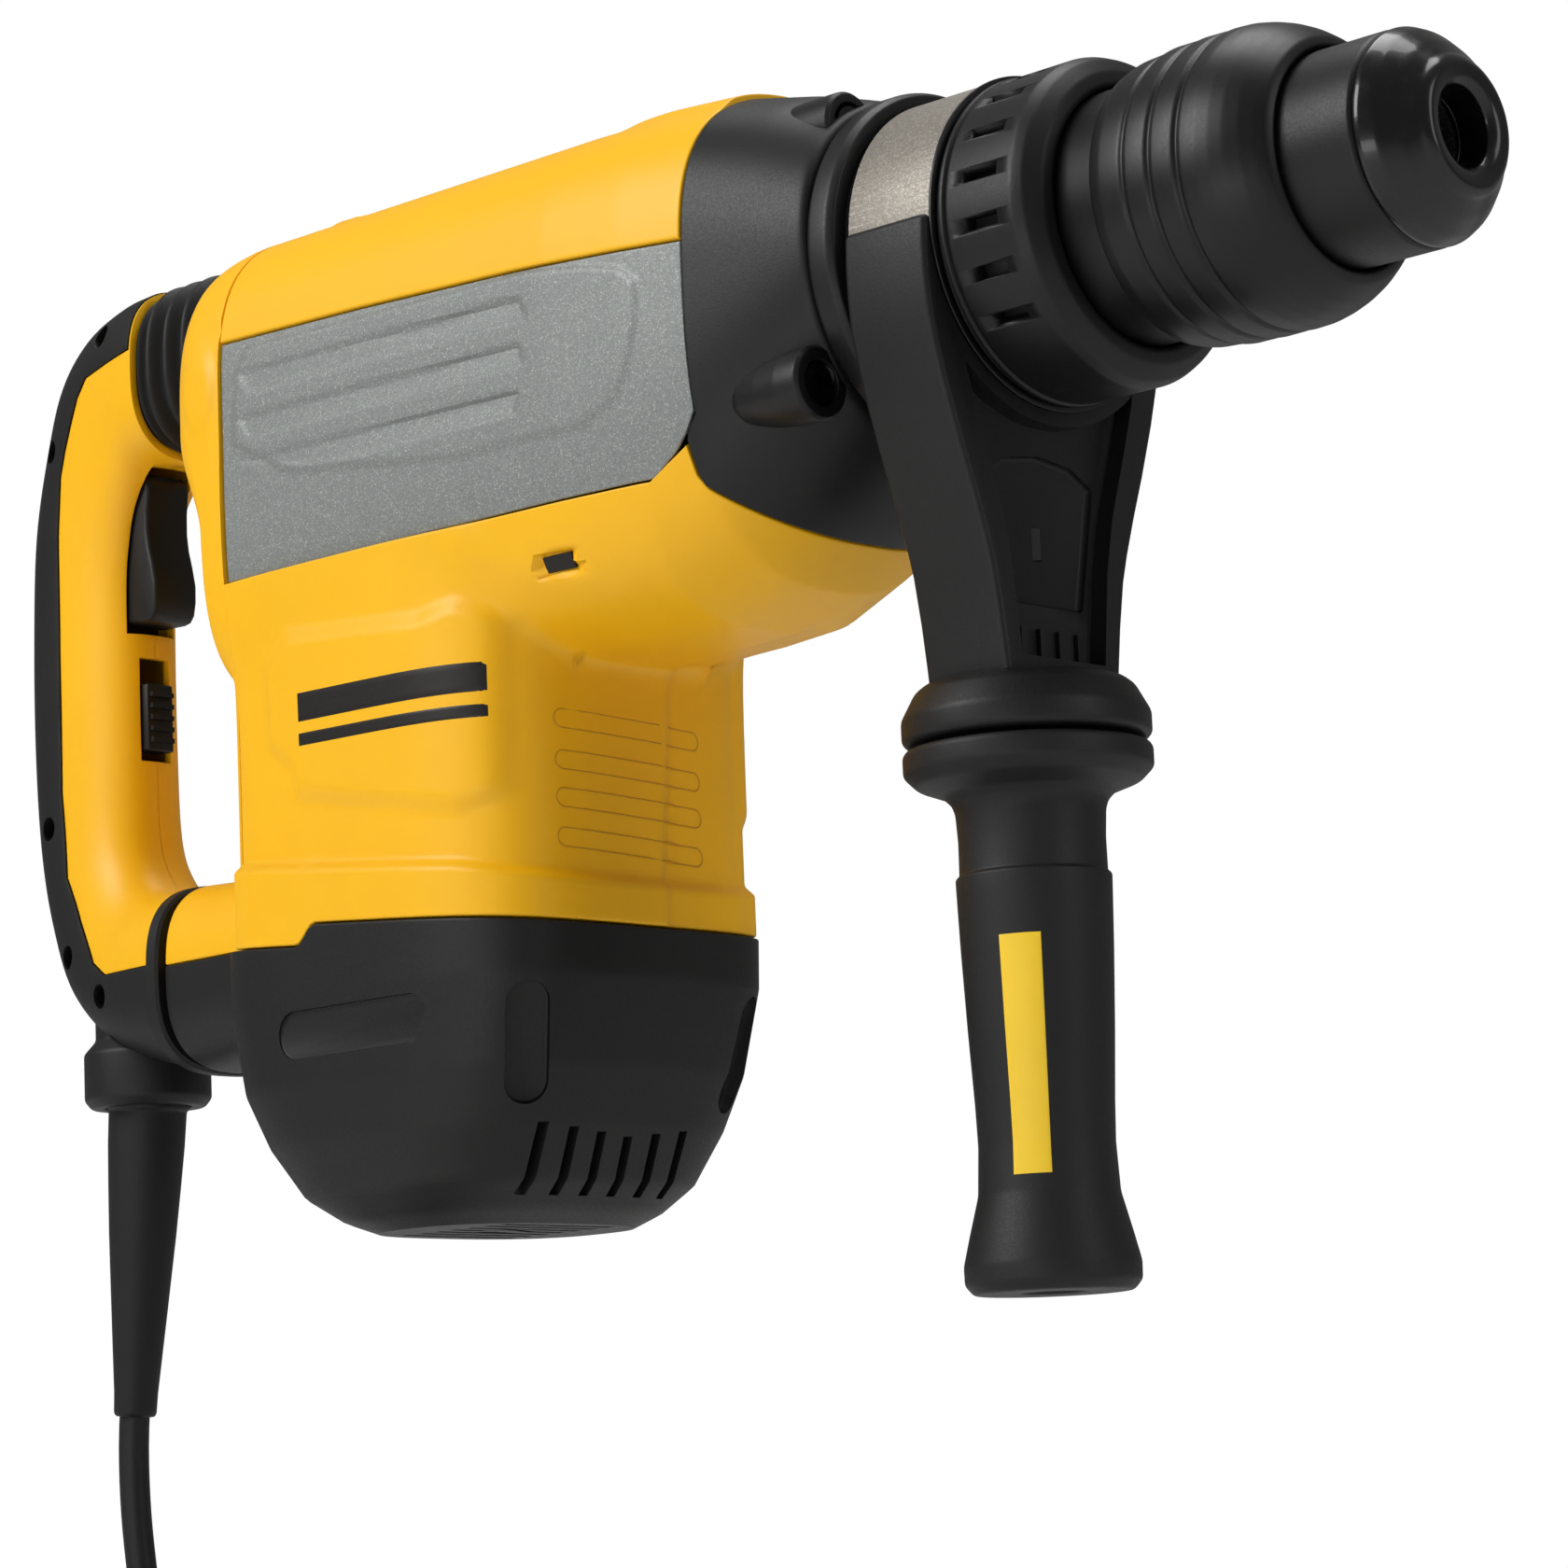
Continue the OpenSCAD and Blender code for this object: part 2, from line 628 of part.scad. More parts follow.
module holder_ring() color(black) spun([[15.05, 458], [22, 458], [26.2, 459], [26.2, 492.4], [25.2, 493.2],
  [15.05, 493.2]]);

module lock_sleeve() color(black) spun([[26.6, 471.4], [27.6, 472.4], [31.5, 469], [35, 462.5], [36.8, 455.5],
  [37, 451], [35.9, 449.8], [36.9, 448.6], [37, 442.5], [35.9, 441.3], [36.8, 440.1], [36.8, 434.2], [35.6, 433], [36.2, 431.8],
  [35.8, 425.5], [34.6, 421.5], [31.8, 420.8], [31.8, 398], [29.8, 398], [29.8, 429], [lock_land_r, 429],
  [lock_land_r, 430.3], [20.2, 454.6], [20.2, 457], [26.6, 457]]);

module sleeve_spring() color(steel) spun([[17.2, 406.1], [19.6, 406.1], [19.6, 428.9], [17.2, 428.9]]);

roller_r = 4.3;
roller_out = 12.15;      // radius at which the locked rollers sit, so that they stand into the bore
lock_land_r = 16.55;     // narrow end of the cone inside the sleeve that keeps them in

module spindle() color(steel) difference() {
  spun([[bore_r, 496.5], [12.5, 496.5], [15, 494], [15, 444], [16.5, 444], [16.5, 406], [20, 406], [20, 404],
    [16.5, 404], [16.5, 352.2], [18, 352.2], [18, 338], [9.5, 338], [9.5, 354], [12.05, 354], [12.05, 398],
    [8.1, 398], [8.1, 404], [9.6, 404], [9.6, 446.5], [bore_r, 446.5]]);
  // slots of the two locking rollers
  for (side = [-1, 1]) translate([429.9, -roller_r - 0.05, axis_z + side*12.5 - 5.5]) cube([12.8, 2*roller_r + 0.1, 11]);
}

module roller_upper() color(steel) bar_x(430.3, 442.3, roller_r, 0, axis_z + roller_out, 48);

module roller_lower() color(steel) bar_x(430.3, 442.3, roller_r, 0, axis_z - roller_out, 48);

module impact_bolt() color(steel) spun([[0, 334], [8.6, 334], [9, 334.6], [9, 356], [12, 356.6], [12, 379], [8.05, 382],
  [8.05, 409], [7, 411], [0, 411]]);

module hammer_tube() color(alloy) difference() {
  spun([[tube_bore, 232], [tube_r, 232], [tube_r, 352], [tube_bore, 352]]);
  for (a = [0:60:300]) translate([276, 0, axis_z]) rotate([a + 30, 0, 0]) translate([0, 0, 20])
    cylinder(h = 8, r = 1.5, center = true, $fn = 24);
}

module crown_gear() color(steel) {
  spun([[tube_r + 0.02, lay_x + 10], [28, lay_x + 10], [28, lay_x + 16], [24, lay_x + 18], [tube_r + 0.02, lay_x + 18]]);
  for (k = [0:35]) translate([0, 0, axis_z]) rotate([10*k + 5, 0, 0])
    translate([lay_x + 8.4, -0.8, -27.6]) cube([1.7, 1.6, 5]);
}

module striker() color(steel) difference() {
  spun([[0, 292], [16, 292], [tube_bore - fit, 293], [tube_bore - fit, 304], [16.6, 304], [16.6, 307],
    [tube_bore - fit, 307], [tube_bore - fit, 322], [12, 327], [0, 327]]);
}

module piston() color(alloy) difference() {
  spun([[0, piston_x - 10], [tube_bore - fit, piston_x - 10], [tube_bore - fit, piston_x + 12], [16.4, piston_x + 12],
    [16.4, piston_x + 15], [tube_bore - fit, piston_x + 15], [tube_bore - fit, piston_x + 20], [0, piston_x + 20]]);
  slab([piston_x - 11, -13, axis_z - 6.4], [piston_x + 9, 13, axis_z + 6.4]);
  bar_z(axis_z - 20, axis_z + 20, 4, piston_x);
}

// The crank pin is pressed into the rod; the crank's own boss stops just under it
module con_rod() color(steel) union() {
  difference() {
    union() {
      bar_z(axis_z - 6, axis_z + 6, 10.5, piston_x - rod_length);
      bar_z(axis_z - 6, axis_z + 6, 7.5, piston_x);
      slab([piston_x - rod_length, -4.5, axis_z - 4], [piston_x, 4.5, axis_z + 4]);
    }
    bar_z(axis_z - 8, axis_z + 8, 4 + fit, piston_x);
  }
  bar_z(axis_z - 8.5, axis_z - 5.9, 6, piston_x - rod_length);
}

module piston_pin() color(steel) bar_z(axis_z - 15, axis_z + 15, 4, piston_x);

// ---- gears ----

function involute(d) = tan(d)*180/PI - d;
// Half tooth angle at radius r of a 20 degree gear, thinned by the backlash
function half_tooth(r, rp, teeth, slack) = 90/teeth - slack/(2*rp)*180/PI
  + involute(20) - involute(acos(min(1, rp*cos(20)/r)));
function gear_outline(teeth, slack = 0.3, turn = 0) = let (rp = gear_m*teeth/2, ra = rp + 0.85*gear_m,
  rf = rp - 1.2*gear_m, rb = max(rp*cos(20), rf + 0.05), flank = [rb, (rb + rp)/2, rp, (rp + ra)/2, ra])
  [for (k = [0:teeth-1]) let (mid = 360*k/teeth + turn) each concat(
    [[rf, mid - half_tooth(rb, rp, teeth, slack)]],
    [for (r = flank) [r, mid - half_tooth(r, rp, teeth, slack)]],
    [for (i = [4:-1:0]) [flank[i], mid + half_tooth(flank[i], rp, teeth, slack)]],
    [[rf, mid + half_tooth(rb, rp, teeth, slack)]])];
function polar(list) = [for (p = list) [p[0]*cos(p[1]), p[0]*sin(p[1])]];

module spur(x, z0, z1, teeth, turn) translate([x, 0, z0]) linear_extrude(height = z1 - z0)
  polygon(polar(gear_outline(teeth, 0.3, turn)));

module crank_gear() color(steel) difference() {
  union() {
    spur(crank_x, gear_z, gear_z + gear_h, crank_teeth, 180 + 180/crank_teeth);
    bar_z(-22, 26, 8, crank_x);
    bar_z(25, 31, 23, crank_x);
    bar_z(31, 36, 7, crank_x - crank_throw);
  }
  for (a = [0:60:300]) translate([crank_x + 20*cos(a), 20*sin(a), -5]) cylinder(h = 16, r = 5, $fn = 48);
}

module layshaft() color(steel) {
  // the gear meets a gap of the crank gear on the line between the two axes
  spur(lay_x, gear_z, gear_z + gear_h, lay_teeth, 180);
  bar_z(-22, gear_z + 0.1, 6, lay_x);
  bar_z(gear_z + gear_h - 0.1, 17.8, 7, lay_x);
  for (k = [0:11]) translate([lay_x, 0, 0]) rotate([0, 0, 30*k]) translate([0, -0.8, 17.2]) cube([9, 1.6, 5.4]);
  bar_z(17.1, 22.6, 6.6, lay_x);
}

// ---- motor ----

module motor_rotor() {
  color(steel) bar_z(-160, gear_z - 0.1, 6, motor_x);
  color(steel) spur(motor_x, gear_z - 0.2, gear_z + gear_h + 1, pinion_teeth, 0);
  color(copper) bar_z(-137, -119, 15, motor_x);
  color(copper) stood(motor_x, 0, [[5.9, -115], [20, -115], [24, -110], [24, -52], [20, -47], [5.9, -47]]);
  color(steel) difference() {
    bar_z(-104, -58, 27.5, motor_x);
    for (a = [0:30:330]) translate([motor_x, 0, -105]) rotate([0, 0, a]) translate([27.5, -1.2, 0]) cube([4, 2.4, 50]);
  }
}

module motor_fan() color(black) difference() {
  union() {
    stood(motor_x, 0, [[6.02, -42], [12, -42], [40, -38.6], [40, -37], [12, -32], [6.02, -32]]);
    for (k = [0:15]) translate([motor_x, 0, -37]) rotate([0, 0, 22.5*k + 8]) translate([14, -0.8, -0.5]) cube([25, 1.6, 7.5]);
  }
}

module stator() color(steel) difference() {
  union() {
    stood(motor_x, 0, [[28.3, -106], [43.5, -106], [43.5, -56], [28.3, -56]]);
    color(copper) for (side = [-1, 1]) difference() {
      stood(motor_x, 0, [[30, -114], [40, -114], [40, -48], [30, -48]]);
      translate([motor_x - 50, side > 0 ? -50 : -12, -120]) cube([100, 62, 80]);
    }
  }
  for (a = [45:90:315]) translate([motor_x + 41*cos(a), 41*sin(a), -120]) cylinder(h = 80, r = 2, $fn = 32);
}

// Bearing rings and the plate that holds them
module bearings() {
  color(alloy) difference() {
    slab([122, -36, -22], [268, 36, -12]);
    bar_z(-30, 0, 12.05, motor_x);
    bar_z(-30, 0, 14.05, crank_x);
    bar_z(-30, 0, 11.05, lay_x);
  }
  color(steel) stood(motor_x, 0, [[6 + fit, -21], [12, -21], [12, -13], [6 + fit, -13]]);
  color(steel) stood(crank_x, 0, [[8 + fit, -21], [14, -21], [14, -13], [8 + fit, -13]]);
  color(steel) stood(lay_x, 0, [[6 + fit, -21], [11, -21], [11, -13], [6 + fit, -13]]);
  color(steel) stood(motor_x, 0, [[6 + fit, -158], [13, -158], [13, -148], [6 + fit, -148]]);
  color(steel) spun([[16.5 + fit, 386], [22.2, 386], [22.2, 398], [16.5 + fit, 398]]);
  color(steel) spun([[tube_r + fit, 306], [29.1, 306], [29.1, 318], [tube_r + fit, 318]]);
}

module brush_gear() for (side = [-1, 1]) {
  color(brass) difference() {
    translate([motor_x - 7, side > 0 ? 17 : -44, -134]) cube([14, 27, 12]);
    translate([motor_x - 5.1, side > 0 ? 10 : -60, -132.1]) cube([10.2, 50, 8.2]);
  }
  color([0.2, 0.2, 0.21]) translate([motor_x - 5, side > 0 ? 15.3 : -35.3, -132]) cube([10, 20, 8]);
}

module case_screws() color([0.3, 0.3, 0.32]) {
  for (side = [-1, 1]) {
    for (b = [[24, 81], [40, 12]]) difference() {
      union() {
        bar_x(306, 331.1, 3, side*b[0], b[1]);
        bar_x(331.05, 336, 5, side*b[0], b[1]);
      }
      bar_x(333, 337, 2.9, side*b[0], b[1], 6);
    }
    for (x = [175, 249]) {
      bar_z(70, 88.9, 2, x, side*30);
      difference() {
        bar_z(89.05, 91.5, 4.2, x, side*30);
        bar_z(90, 92, 1.7, x, side*30, 6);
      }
    }
  }
}

top_cover();
rear_cover();
motor_housing();
side_panel_right();
side_panel_left();
gear_case();
motor_cap();
collar_flange();
front_barrel();
vented_ring();
handle_shell_right();
handle_shell_left();
handle_overmould();
pivot_arm();
pivot_pin();
trigger();
lock_slide();
switch_module();
handle_screws();
damper_bellows();
damper_spring();
damper_guide();
cord_socket();
strain_relief();
power_cord();
cord_coil();
coil_tie();
plug_body();
plug_pins();
side_yoke();
side_strap();
clamp_nut();
clamp_rod();
grip_core();
side_grip();
nose_cap();
holder_ring();
lock_sleeve();
sleeve_spring();
spindle();
roller_upper();
roller_lower();
hammer_tube();
crown_gear();
impact_bolt();
striker();
piston();
con_rod();
crank_gear();
layshaft();
motor_rotor();
motor_fan();
stator();
bearings();
brush_gear();
case_screws();
piston_pin();
mode_knob();
speed_dial();
electronics();
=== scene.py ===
"""A corded rotary hammer: D-shaped damped rear handle, vertical motor, swivelling side handle.

Lengths are millimetres in the frame of the CAD model (+X along the spindle towards the bit, +Z up,
+Y the tool's left), and turn into metres when a mesh is made.
"""
import math

import bpy
import numpy as np
from mathutils import Matrix, Vector


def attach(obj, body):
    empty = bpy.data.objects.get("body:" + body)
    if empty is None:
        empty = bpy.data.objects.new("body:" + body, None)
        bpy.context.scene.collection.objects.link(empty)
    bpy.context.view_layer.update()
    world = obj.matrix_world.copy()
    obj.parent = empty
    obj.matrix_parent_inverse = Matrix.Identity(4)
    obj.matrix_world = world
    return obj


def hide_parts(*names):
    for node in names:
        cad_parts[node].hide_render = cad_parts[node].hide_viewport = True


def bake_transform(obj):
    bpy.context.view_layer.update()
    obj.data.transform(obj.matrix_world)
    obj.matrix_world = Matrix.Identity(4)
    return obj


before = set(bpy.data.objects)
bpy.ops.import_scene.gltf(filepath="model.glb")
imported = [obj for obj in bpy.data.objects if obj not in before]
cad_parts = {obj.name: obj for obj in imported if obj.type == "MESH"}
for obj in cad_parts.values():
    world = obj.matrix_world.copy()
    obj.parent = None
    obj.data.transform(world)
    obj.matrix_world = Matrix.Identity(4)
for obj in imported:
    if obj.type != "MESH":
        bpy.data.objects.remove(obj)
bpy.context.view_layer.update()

MM = 0.001
AXIS_Z = 45.0            # height of the spindle axis
SIDE_X = 363.5           # the side handle's axis
SOCKET_X = 16            # the cord socket's axis
DAMPER_Z = 77            # height of the handle damper's axis
ARM_Z = -103.6           # height of the lower arm's axis
FLOOR_X, FLOOR_R, FLOOR_Z = 250, 6000, -362.0
GAP = 0.25               # half the width of a seam between two shells
CASE_MID = 48            # height at which the upper case is widest
CASE_REAR = 121          # from here the panels and the top cover start
SIDES = ((-1, "right"), (1, "left"))

FLOOR_GLOW = 0.6         # what the floor adds to its own look
CAMERA_AT = (1.1484, -0.9037, -0.2746)    # metres, as the lights' places are
CAMERA_TURN = (43.867, 8.944, -2.387)     # yaw, pitch and roll in degrees
SENSOR, LENS = 36, 112.74
AMBIENT = 0.19                            # strength of the light from all round
LIGHTS = (                                # name, place, aim, width and height, watts
    ("key", (-0.5, -1.7, 1.2), (0.2, 0, 0), (1.2, 1.2), 36),
    ("front_fill", (1.9, 0.2, 0.5), (0.3, 0, 0), (0.6, 1.2), 5),
    ("top", (0.3, 0.3, 1.7), (0.25, 0, 0), (1.4, 0.8), 15),
    ("low_fill", (0.6, -1.3, -0.25), (0.2, 0, -0.05), (0.9, 0.25), 2))


# ---- camera and light ----

def look(yaw, pitch, roll):
    """Rotation of a camera that looks along +Y turned by yaw, then up by pitch, then rolled."""
    cy, sy, cp, sp = math.cos(yaw), math.sin(yaw), math.cos(pitch), math.sin(pitch)
    forward = Vector((-sy * cp, cy * cp, sp))
    right = Vector((cy, sy, 0))
    up = right.cross(forward)
    cr, sr = math.cos(roll), math.sin(roll)
    side, top = cr * right + sr * up, cr * up - sr * right
    return Matrix((side, top, -forward)).transposed()


def add_object(name, data):
    o = bpy.data.objects.new(name, data)
    bpy.context.scene.collection.objects.link(o)
    return o


def make_camera():
    data = bpy.data.cameras.new("camera")
    data.sensor_width = SENSOR
    data.lens = LENS
    data.clip_start, data.clip_end = 0.05, 60
    camera = add_object("camera", data)
    turn = look(*(math.radians(angle) for angle in CAMERA_TURN))
    camera.matrix_world = Matrix.Translation(CAMERA_AT) @ turn.to_4x4()
    bpy.context.scene.camera = camera


def make_light(name, at, aim, size, watts):
    data = bpy.data.lights.new(name, "AREA")
    data.shape = "RECTANGLE"
    data.size, data.size_y = size
    data.energy = watts
    lamp = add_object(name, data)
    lamp.location = at
    lamp.rotation_euler = (Vector(aim) - Vector(at)).to_track_quat("-Z", "Y").to_euler()


def make_studio():
    """The lights, and a world that lights softly but looks white where nothing stands before it."""
    for light in LIGHTS:
        make_light(*light)
    world = bpy.data.worlds.new("studio")
    world.use_nodes = True
    tree = world.node_tree
    sky = tree.nodes["Background"]
    sky.inputs["Color"].default_value = (1, 1, 1, 1)
    dim = tree.nodes.new("ShaderNodeBackground")
    dim.inputs["Color"].default_value = (1, 0.99, 0.975, 1)
    dim.inputs["Strength"].default_value = AMBIENT
    mix = tree.nodes.new("ShaderNodeMixShader")
    path = tree.nodes.new("ShaderNodeLightPath")
    tree.links.new(path.outputs["Is Camera Ray"], mix.inputs["Fac"])
    tree.links.new(dim.outputs[0], mix.inputs[1])
    tree.links.new(sky.outputs[0], mix.inputs[2])
    tree.links.new(mix.outputs[0], tree.nodes["World Output"].inputs["Surface"])
    bpy.context.scene.world = world
    bpy.context.scene.view_settings.view_transform = "Standard"


make_camera()
make_studio()


# ---- materials ----

def new_material(name, colour, rough, metallic=0.0, coat=0.0):
    """A material with its nodes, and the shader that the others plug into."""
    m = bpy.data.materials.new(name)
    m.use_nodes = True
    shader = m.node_tree.nodes["Principled BSDF"]
    shader.inputs["Base Color"].default_value = (*colour, 1)
    shader.inputs["Roughness"].default_value = rough
    shader.inputs["Metallic"].default_value = metallic
    shader.inputs["Coat Weight"].default_value = coat
    m.diffuse_color = (*colour, 1)
    return m, m.node_tree, shader


def noise(tree, scale, detail=3.0, rough=0.6, stretch=None):
    """A noise texture in the object's own space, so many cells per metre."""
    place = tree.nodes.new("ShaderNodeTexCoord").outputs["Object"]
    if stretch:
        mapping = tree.nodes.new("ShaderNodeMapping")
        mapping.inputs["Scale"].default_value = stretch
        tree.links.new(place, mapping.inputs["Vector"])
        place = mapping.outputs["Vector"]
    n = tree.nodes.new("ShaderNodeTexNoise")
    n.inputs["Scale"].default_value = scale
    n.inputs["Detail"].default_value = detail
    n.inputs["Roughness"].default_value = rough
    tree.links.new(place, n.inputs["Vector"])
    return n.outputs["Fac"]


def ramp(tree, source, stops, socket):
    """source through a colour ramp of (position, colour) stops, into socket."""
    r = tree.nodes.new("ShaderNodeValToRGB")
    while len(r.color_ramp.elements) < len(stops):
        r.color_ramp.elements.new(0.5)
    for element, (where, colour) in zip(r.color_ramp.elements, stops):
        element.position = where
        element.color = (*colour, 1)
    tree.links.new(source, r.inputs["Fac"])
    tree.links.new(r.outputs["Color"], socket)


def grey(v):
    return (v, v, v)


def bump(tree, shader, height, strength, distance=0.00012):
    b = tree.nodes.new("ShaderNodeBump")
    b.inputs["Strength"].default_value = strength
    b.inputs["Distance"].default_value = distance
    tree.links.new(height, b.inputs["Height"])
    tree.links.new(b.outputs["Normal"], shader.inputs["Normal"])


def moulded(name, colour, rough, grain, strength, mottle=0.05, spread=0.07, coat=0.0, stretch=None):
    """Moulded plastic or rubber: a fine texture in the surface, and a slow change of tone and shine."""
    m, tree, shader = new_material(name, colour, rough, coat=coat)
    shader.inputs["Specular IOR Level"].default_value = 0.36
    slow = noise(tree, 22, 4)
    darker, lighter = [c * (1 - mottle) for c in colour], [min(1, c * (1 + mottle)) for c in colour]
    ramp(tree, slow, [(0.3, darker), (0.7, lighter)], shader.inputs["Base Color"])
    fine = noise(tree, grain, 2, 0.55, stretch)
    ramp(tree, fine, [(0.25, grey(rough - spread)), (0.75, grey(rough + spread))], shader.inputs["Roughness"])
    bump(tree, shader, fine, strength)
    return m


def metal(name, colour, rough, grain, strength, stretch=None, spread=0.08):
    """Bare metal: ground or cast grain in the surface, and a slow change of tone."""
    m, tree, shader = new_material(name, colour, rough, metallic=1.0)
    fine = noise(tree, grain, 3, 0.6, stretch)
    ramp(tree, fine, [(0.25, grey(max(0.02, rough - spread))), (0.75, grey(rough + spread))],
         shader.inputs["Roughness"])
    ramp(tree, noise(tree, 35, 3), [(0.3, [c * 0.9 for c in colour]), (0.7, colour)],
         shader.inputs["Base Color"])
    bump(tree, shader, fine, strength, 0.00005)
    return m


def flake_paint(name, colour, bright, rough, cells, metallic):
    """Paint with metal flakes: small cells, of which a few shine."""
    m, tree, shader = new_material(name, colour, rough, metallic=metallic)
    place = tree.nodes.new("ShaderNodeTexCoord").outputs["Object"]
    flakes = tree.nodes.new("ShaderNodeTexVoronoi")
    flakes.inputs["Scale"].default_value = cells
    tree.links.new(place, flakes.inputs["Vector"])
    one = tree.nodes.new("ShaderNodeSeparateColor")
    tree.links.new(flakes.outputs["Color"], one.inputs["Color"])
    tones = [(0.0, [c * 0.80 for c in colour]), (0.55, colour),
             (0.88, [c * 1.15 for c in colour]), (1.0, bright)]
    ramp(tree, one.outputs["Red"], tones, shader.inputs["Base Color"])
    shine = [(0.0, grey(rough - 0.06)), (1.0, grey(rough + 0.08))]
    ramp(tree, one.outputs["Green"], shine, shader.inputs["Roughness"])
    bump(tree, shader, one.outputs["Blue"], 0.14, 0.00003)
    return m


YELLOW = moulded("yellow_plastic", (0.94, 0.49, 0.005), 0.42, 1500, 0.10, 0.025, 0.05)
GREY_PAINT = flake_paint("grey_flake_paint", (0.222, 0.238, 0.230), (0.42, 0.45, 0.43), 0.48, 3300, 0.2)
BLACK = moulded("black_plastic", (0.0062, 0.0062, 0.0062), 0.50, 1300, 0.30, 0.15, 0.07)
FRONT_BLACK = moulded("front_black_plastic", (0.0048, 0.0048, 0.0049), 0.45, 1500, 0.22, 0.15, 0.06)
RUBBER = moulded("black_rubber", (0.0055, 0.0055, 0.0055), 0.54, 1700, 0.25, 0.15, 0.06)
SLEEVE_RUBBER = moulded("sleeve_rubber", (0.0035, 0.0035, 0.0037), 0.40, 1500, 0.12, 0.15, 0.05)
GLOSS_RUBBER = moulded("polished_rubber", (0.003, 0.003, 0.0032), 0.25, 260, 0.06, 0.2, 0.05, coat=0.3)
GRIP_RUBBER = moulded("grip_rubber", (0.0075, 0.0075, 0.0077), 0.54, 1900, 0.30, 0.12, 0.06)
CORD = moulded("cord_sheath", (0.007, 0.007, 0.0075), 0.46, 900, 0.15, 0.1, 0.06)
DARK = moulded("dark_plastic", (0.02, 0.02, 0.022), 0.5, 1200, 0.2)
WEAVE = moulded("tie_tape", (0.02, 0.02, 0.02), 0.85, 900, 0.9, 0.3, 0.05)
YELLOW_INK = moulded("yellow_ink", (0.95, 0.62, 0.03), 0.42, 1900, 0.12)
# a darker yellow for the thin lines round the pills on the motor housing: painted shade of the grooves there
GROOVE_SHADE_YELLOW = moulded("yellow_in_shade", (0.62, 0.30, 0.004), 0.45, 1500, 0.1)
BLACK_INK = moulded("black_ink", (0.012, 0.010, 0.008), 0.40, 1500, 0.08)
STEEL = metal("ground_steel", (0.55, 0.55, 0.57), 0.28, 900, 0.25, (1, 9, 9))
DARK_STEEL = metal("dark_steel", (0.05, 0.05, 0.052), 0.34, 1500, 0.25)
ALLOY = metal("die_cast_alloy", (0.62, 0.63, 0.66), 0.42, 1100, 0.5)
BRASS = metal("nickel_brass", (0.75, 0.66, 0.48), 0.22, 900, 0.15)
COPPER = metal("wound_copper", (0.50, 0.22, 0.10), 0.35, 600, 0.8, (1, 1, 12))
STRAP = flake_paint("strap_paint", (0.27, 0.245, 0.21), (0.42, 0.39, 0.34), 0.46, 2600, 0.4)
BOARD = moulded("potted_board", (0.03, 0.07, 0.045), 0.35, 700, 0.4)


# ---- mesh helpers ----

def volume(points, faces):
    """Volume that the faces enclose, negative if they face inwards."""
    tri = np.array([(f[0], f[i], f[i + 1]) for f in faces for i in range(1, len(f) - 1)])
    a, b, c = points[tri[:, 0]], points[tri[:, 1]], points[tri[:, 2]]
    return float(np.sum(a * np.cross(b, c)) / 6)


def shade(mesh, sharp=38):
    """Smooth shading, with a hard line where faces meet at more than sharp degrees."""
    mesh.shade_smooth()
    mesh.set_sharp_from_angle(angle=math.radians(sharp))


def paint(o, material):
    o.data.materials.clear()
    o.data.materials.append(material)


def mount_piece(o, body, replaces=()):
    """Puts a piece on its body, if it keeps to one, and says which CAD nodes it stands for."""
    if body:
        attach(o, body)
    if replaces:
        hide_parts(*replaces)
    return o


def piece(name, points, faces, material, body, replaces=(), sharp=38):
    """A mesh from points in millimetres. It rides on body, and stands for the CAD nodes in replaces."""
    mesh = bpy.data.meshes.new(name)
    points = np.asarray(points, float).reshape(-1, 3) * MM
    if volume(points, faces) < 0:
        faces = [f[::-1] for f in faces]
    mesh.from_pydata(points.tolist(), [], faces)
    mesh.validate()
    shade(mesh, sharp)
    mesh.materials.append(material)
    return mount_piece(add_object(name, mesh), body, replaces)


def grid_faces(rows, columns, wrap=False, start=0, flip=False):
    """Quads of a grid of points stored row by row."""
    last = columns if wrap else columns - 1
    faces = []
    for i in range(rows - 1):
        for j in range(last):
            a, b = start + i * columns + j, start + i * columns + (j + 1) % columns
            quad = (a, b, b + columns, a + columns)
            faces.append(quad[::-1] if flip else quad)
    return faces


def tube_faces(rows, count):
    """Quads of a grid that closes round, with a face over each end."""
    ends = [tuple(range(count)), tuple(range(rows * count - 1, (rows - 1) * count - 1, -1))]
    return grid_faces(rows, count, True, 0, True) + ends


def grid_normals(p, wrap=False):
    """Unit normals of a grid of points; du x dv points out for the grids that are made here."""
    du = np.gradient(p, axis=0)
    if wrap:
        dv = np.roll(p, -1, 1) - np.roll(p, 1, 1)
    else:
        dv = np.gradient(p, axis=1)
    n = np.cross(du, dv)
    return n / np.maximum(np.linalg.norm(n, axis=2, keepdims=True), 1e-9)


def rim_distance(p, wrap=False):
    """Distance of each grid point from the nearest open edge of the grid, along the grid's lines."""
    def along(q):
        step = np.linalg.norm(np.diff(q, axis=0), axis=2)
        run = np.vstack([np.zeros(q.shape[1]), np.cumsum(step, 0)])
        return np.minimum(run, run[-1] - run)
    d = along(p)
    if not wrap:
        d = np.minimum(d, along(p.transpose(1, 0, 2)).T)
    return d


def section(x, y, z):
    """A row of points that share one x."""
    return np.stack([np.full(len(y), x), y, z], -1)


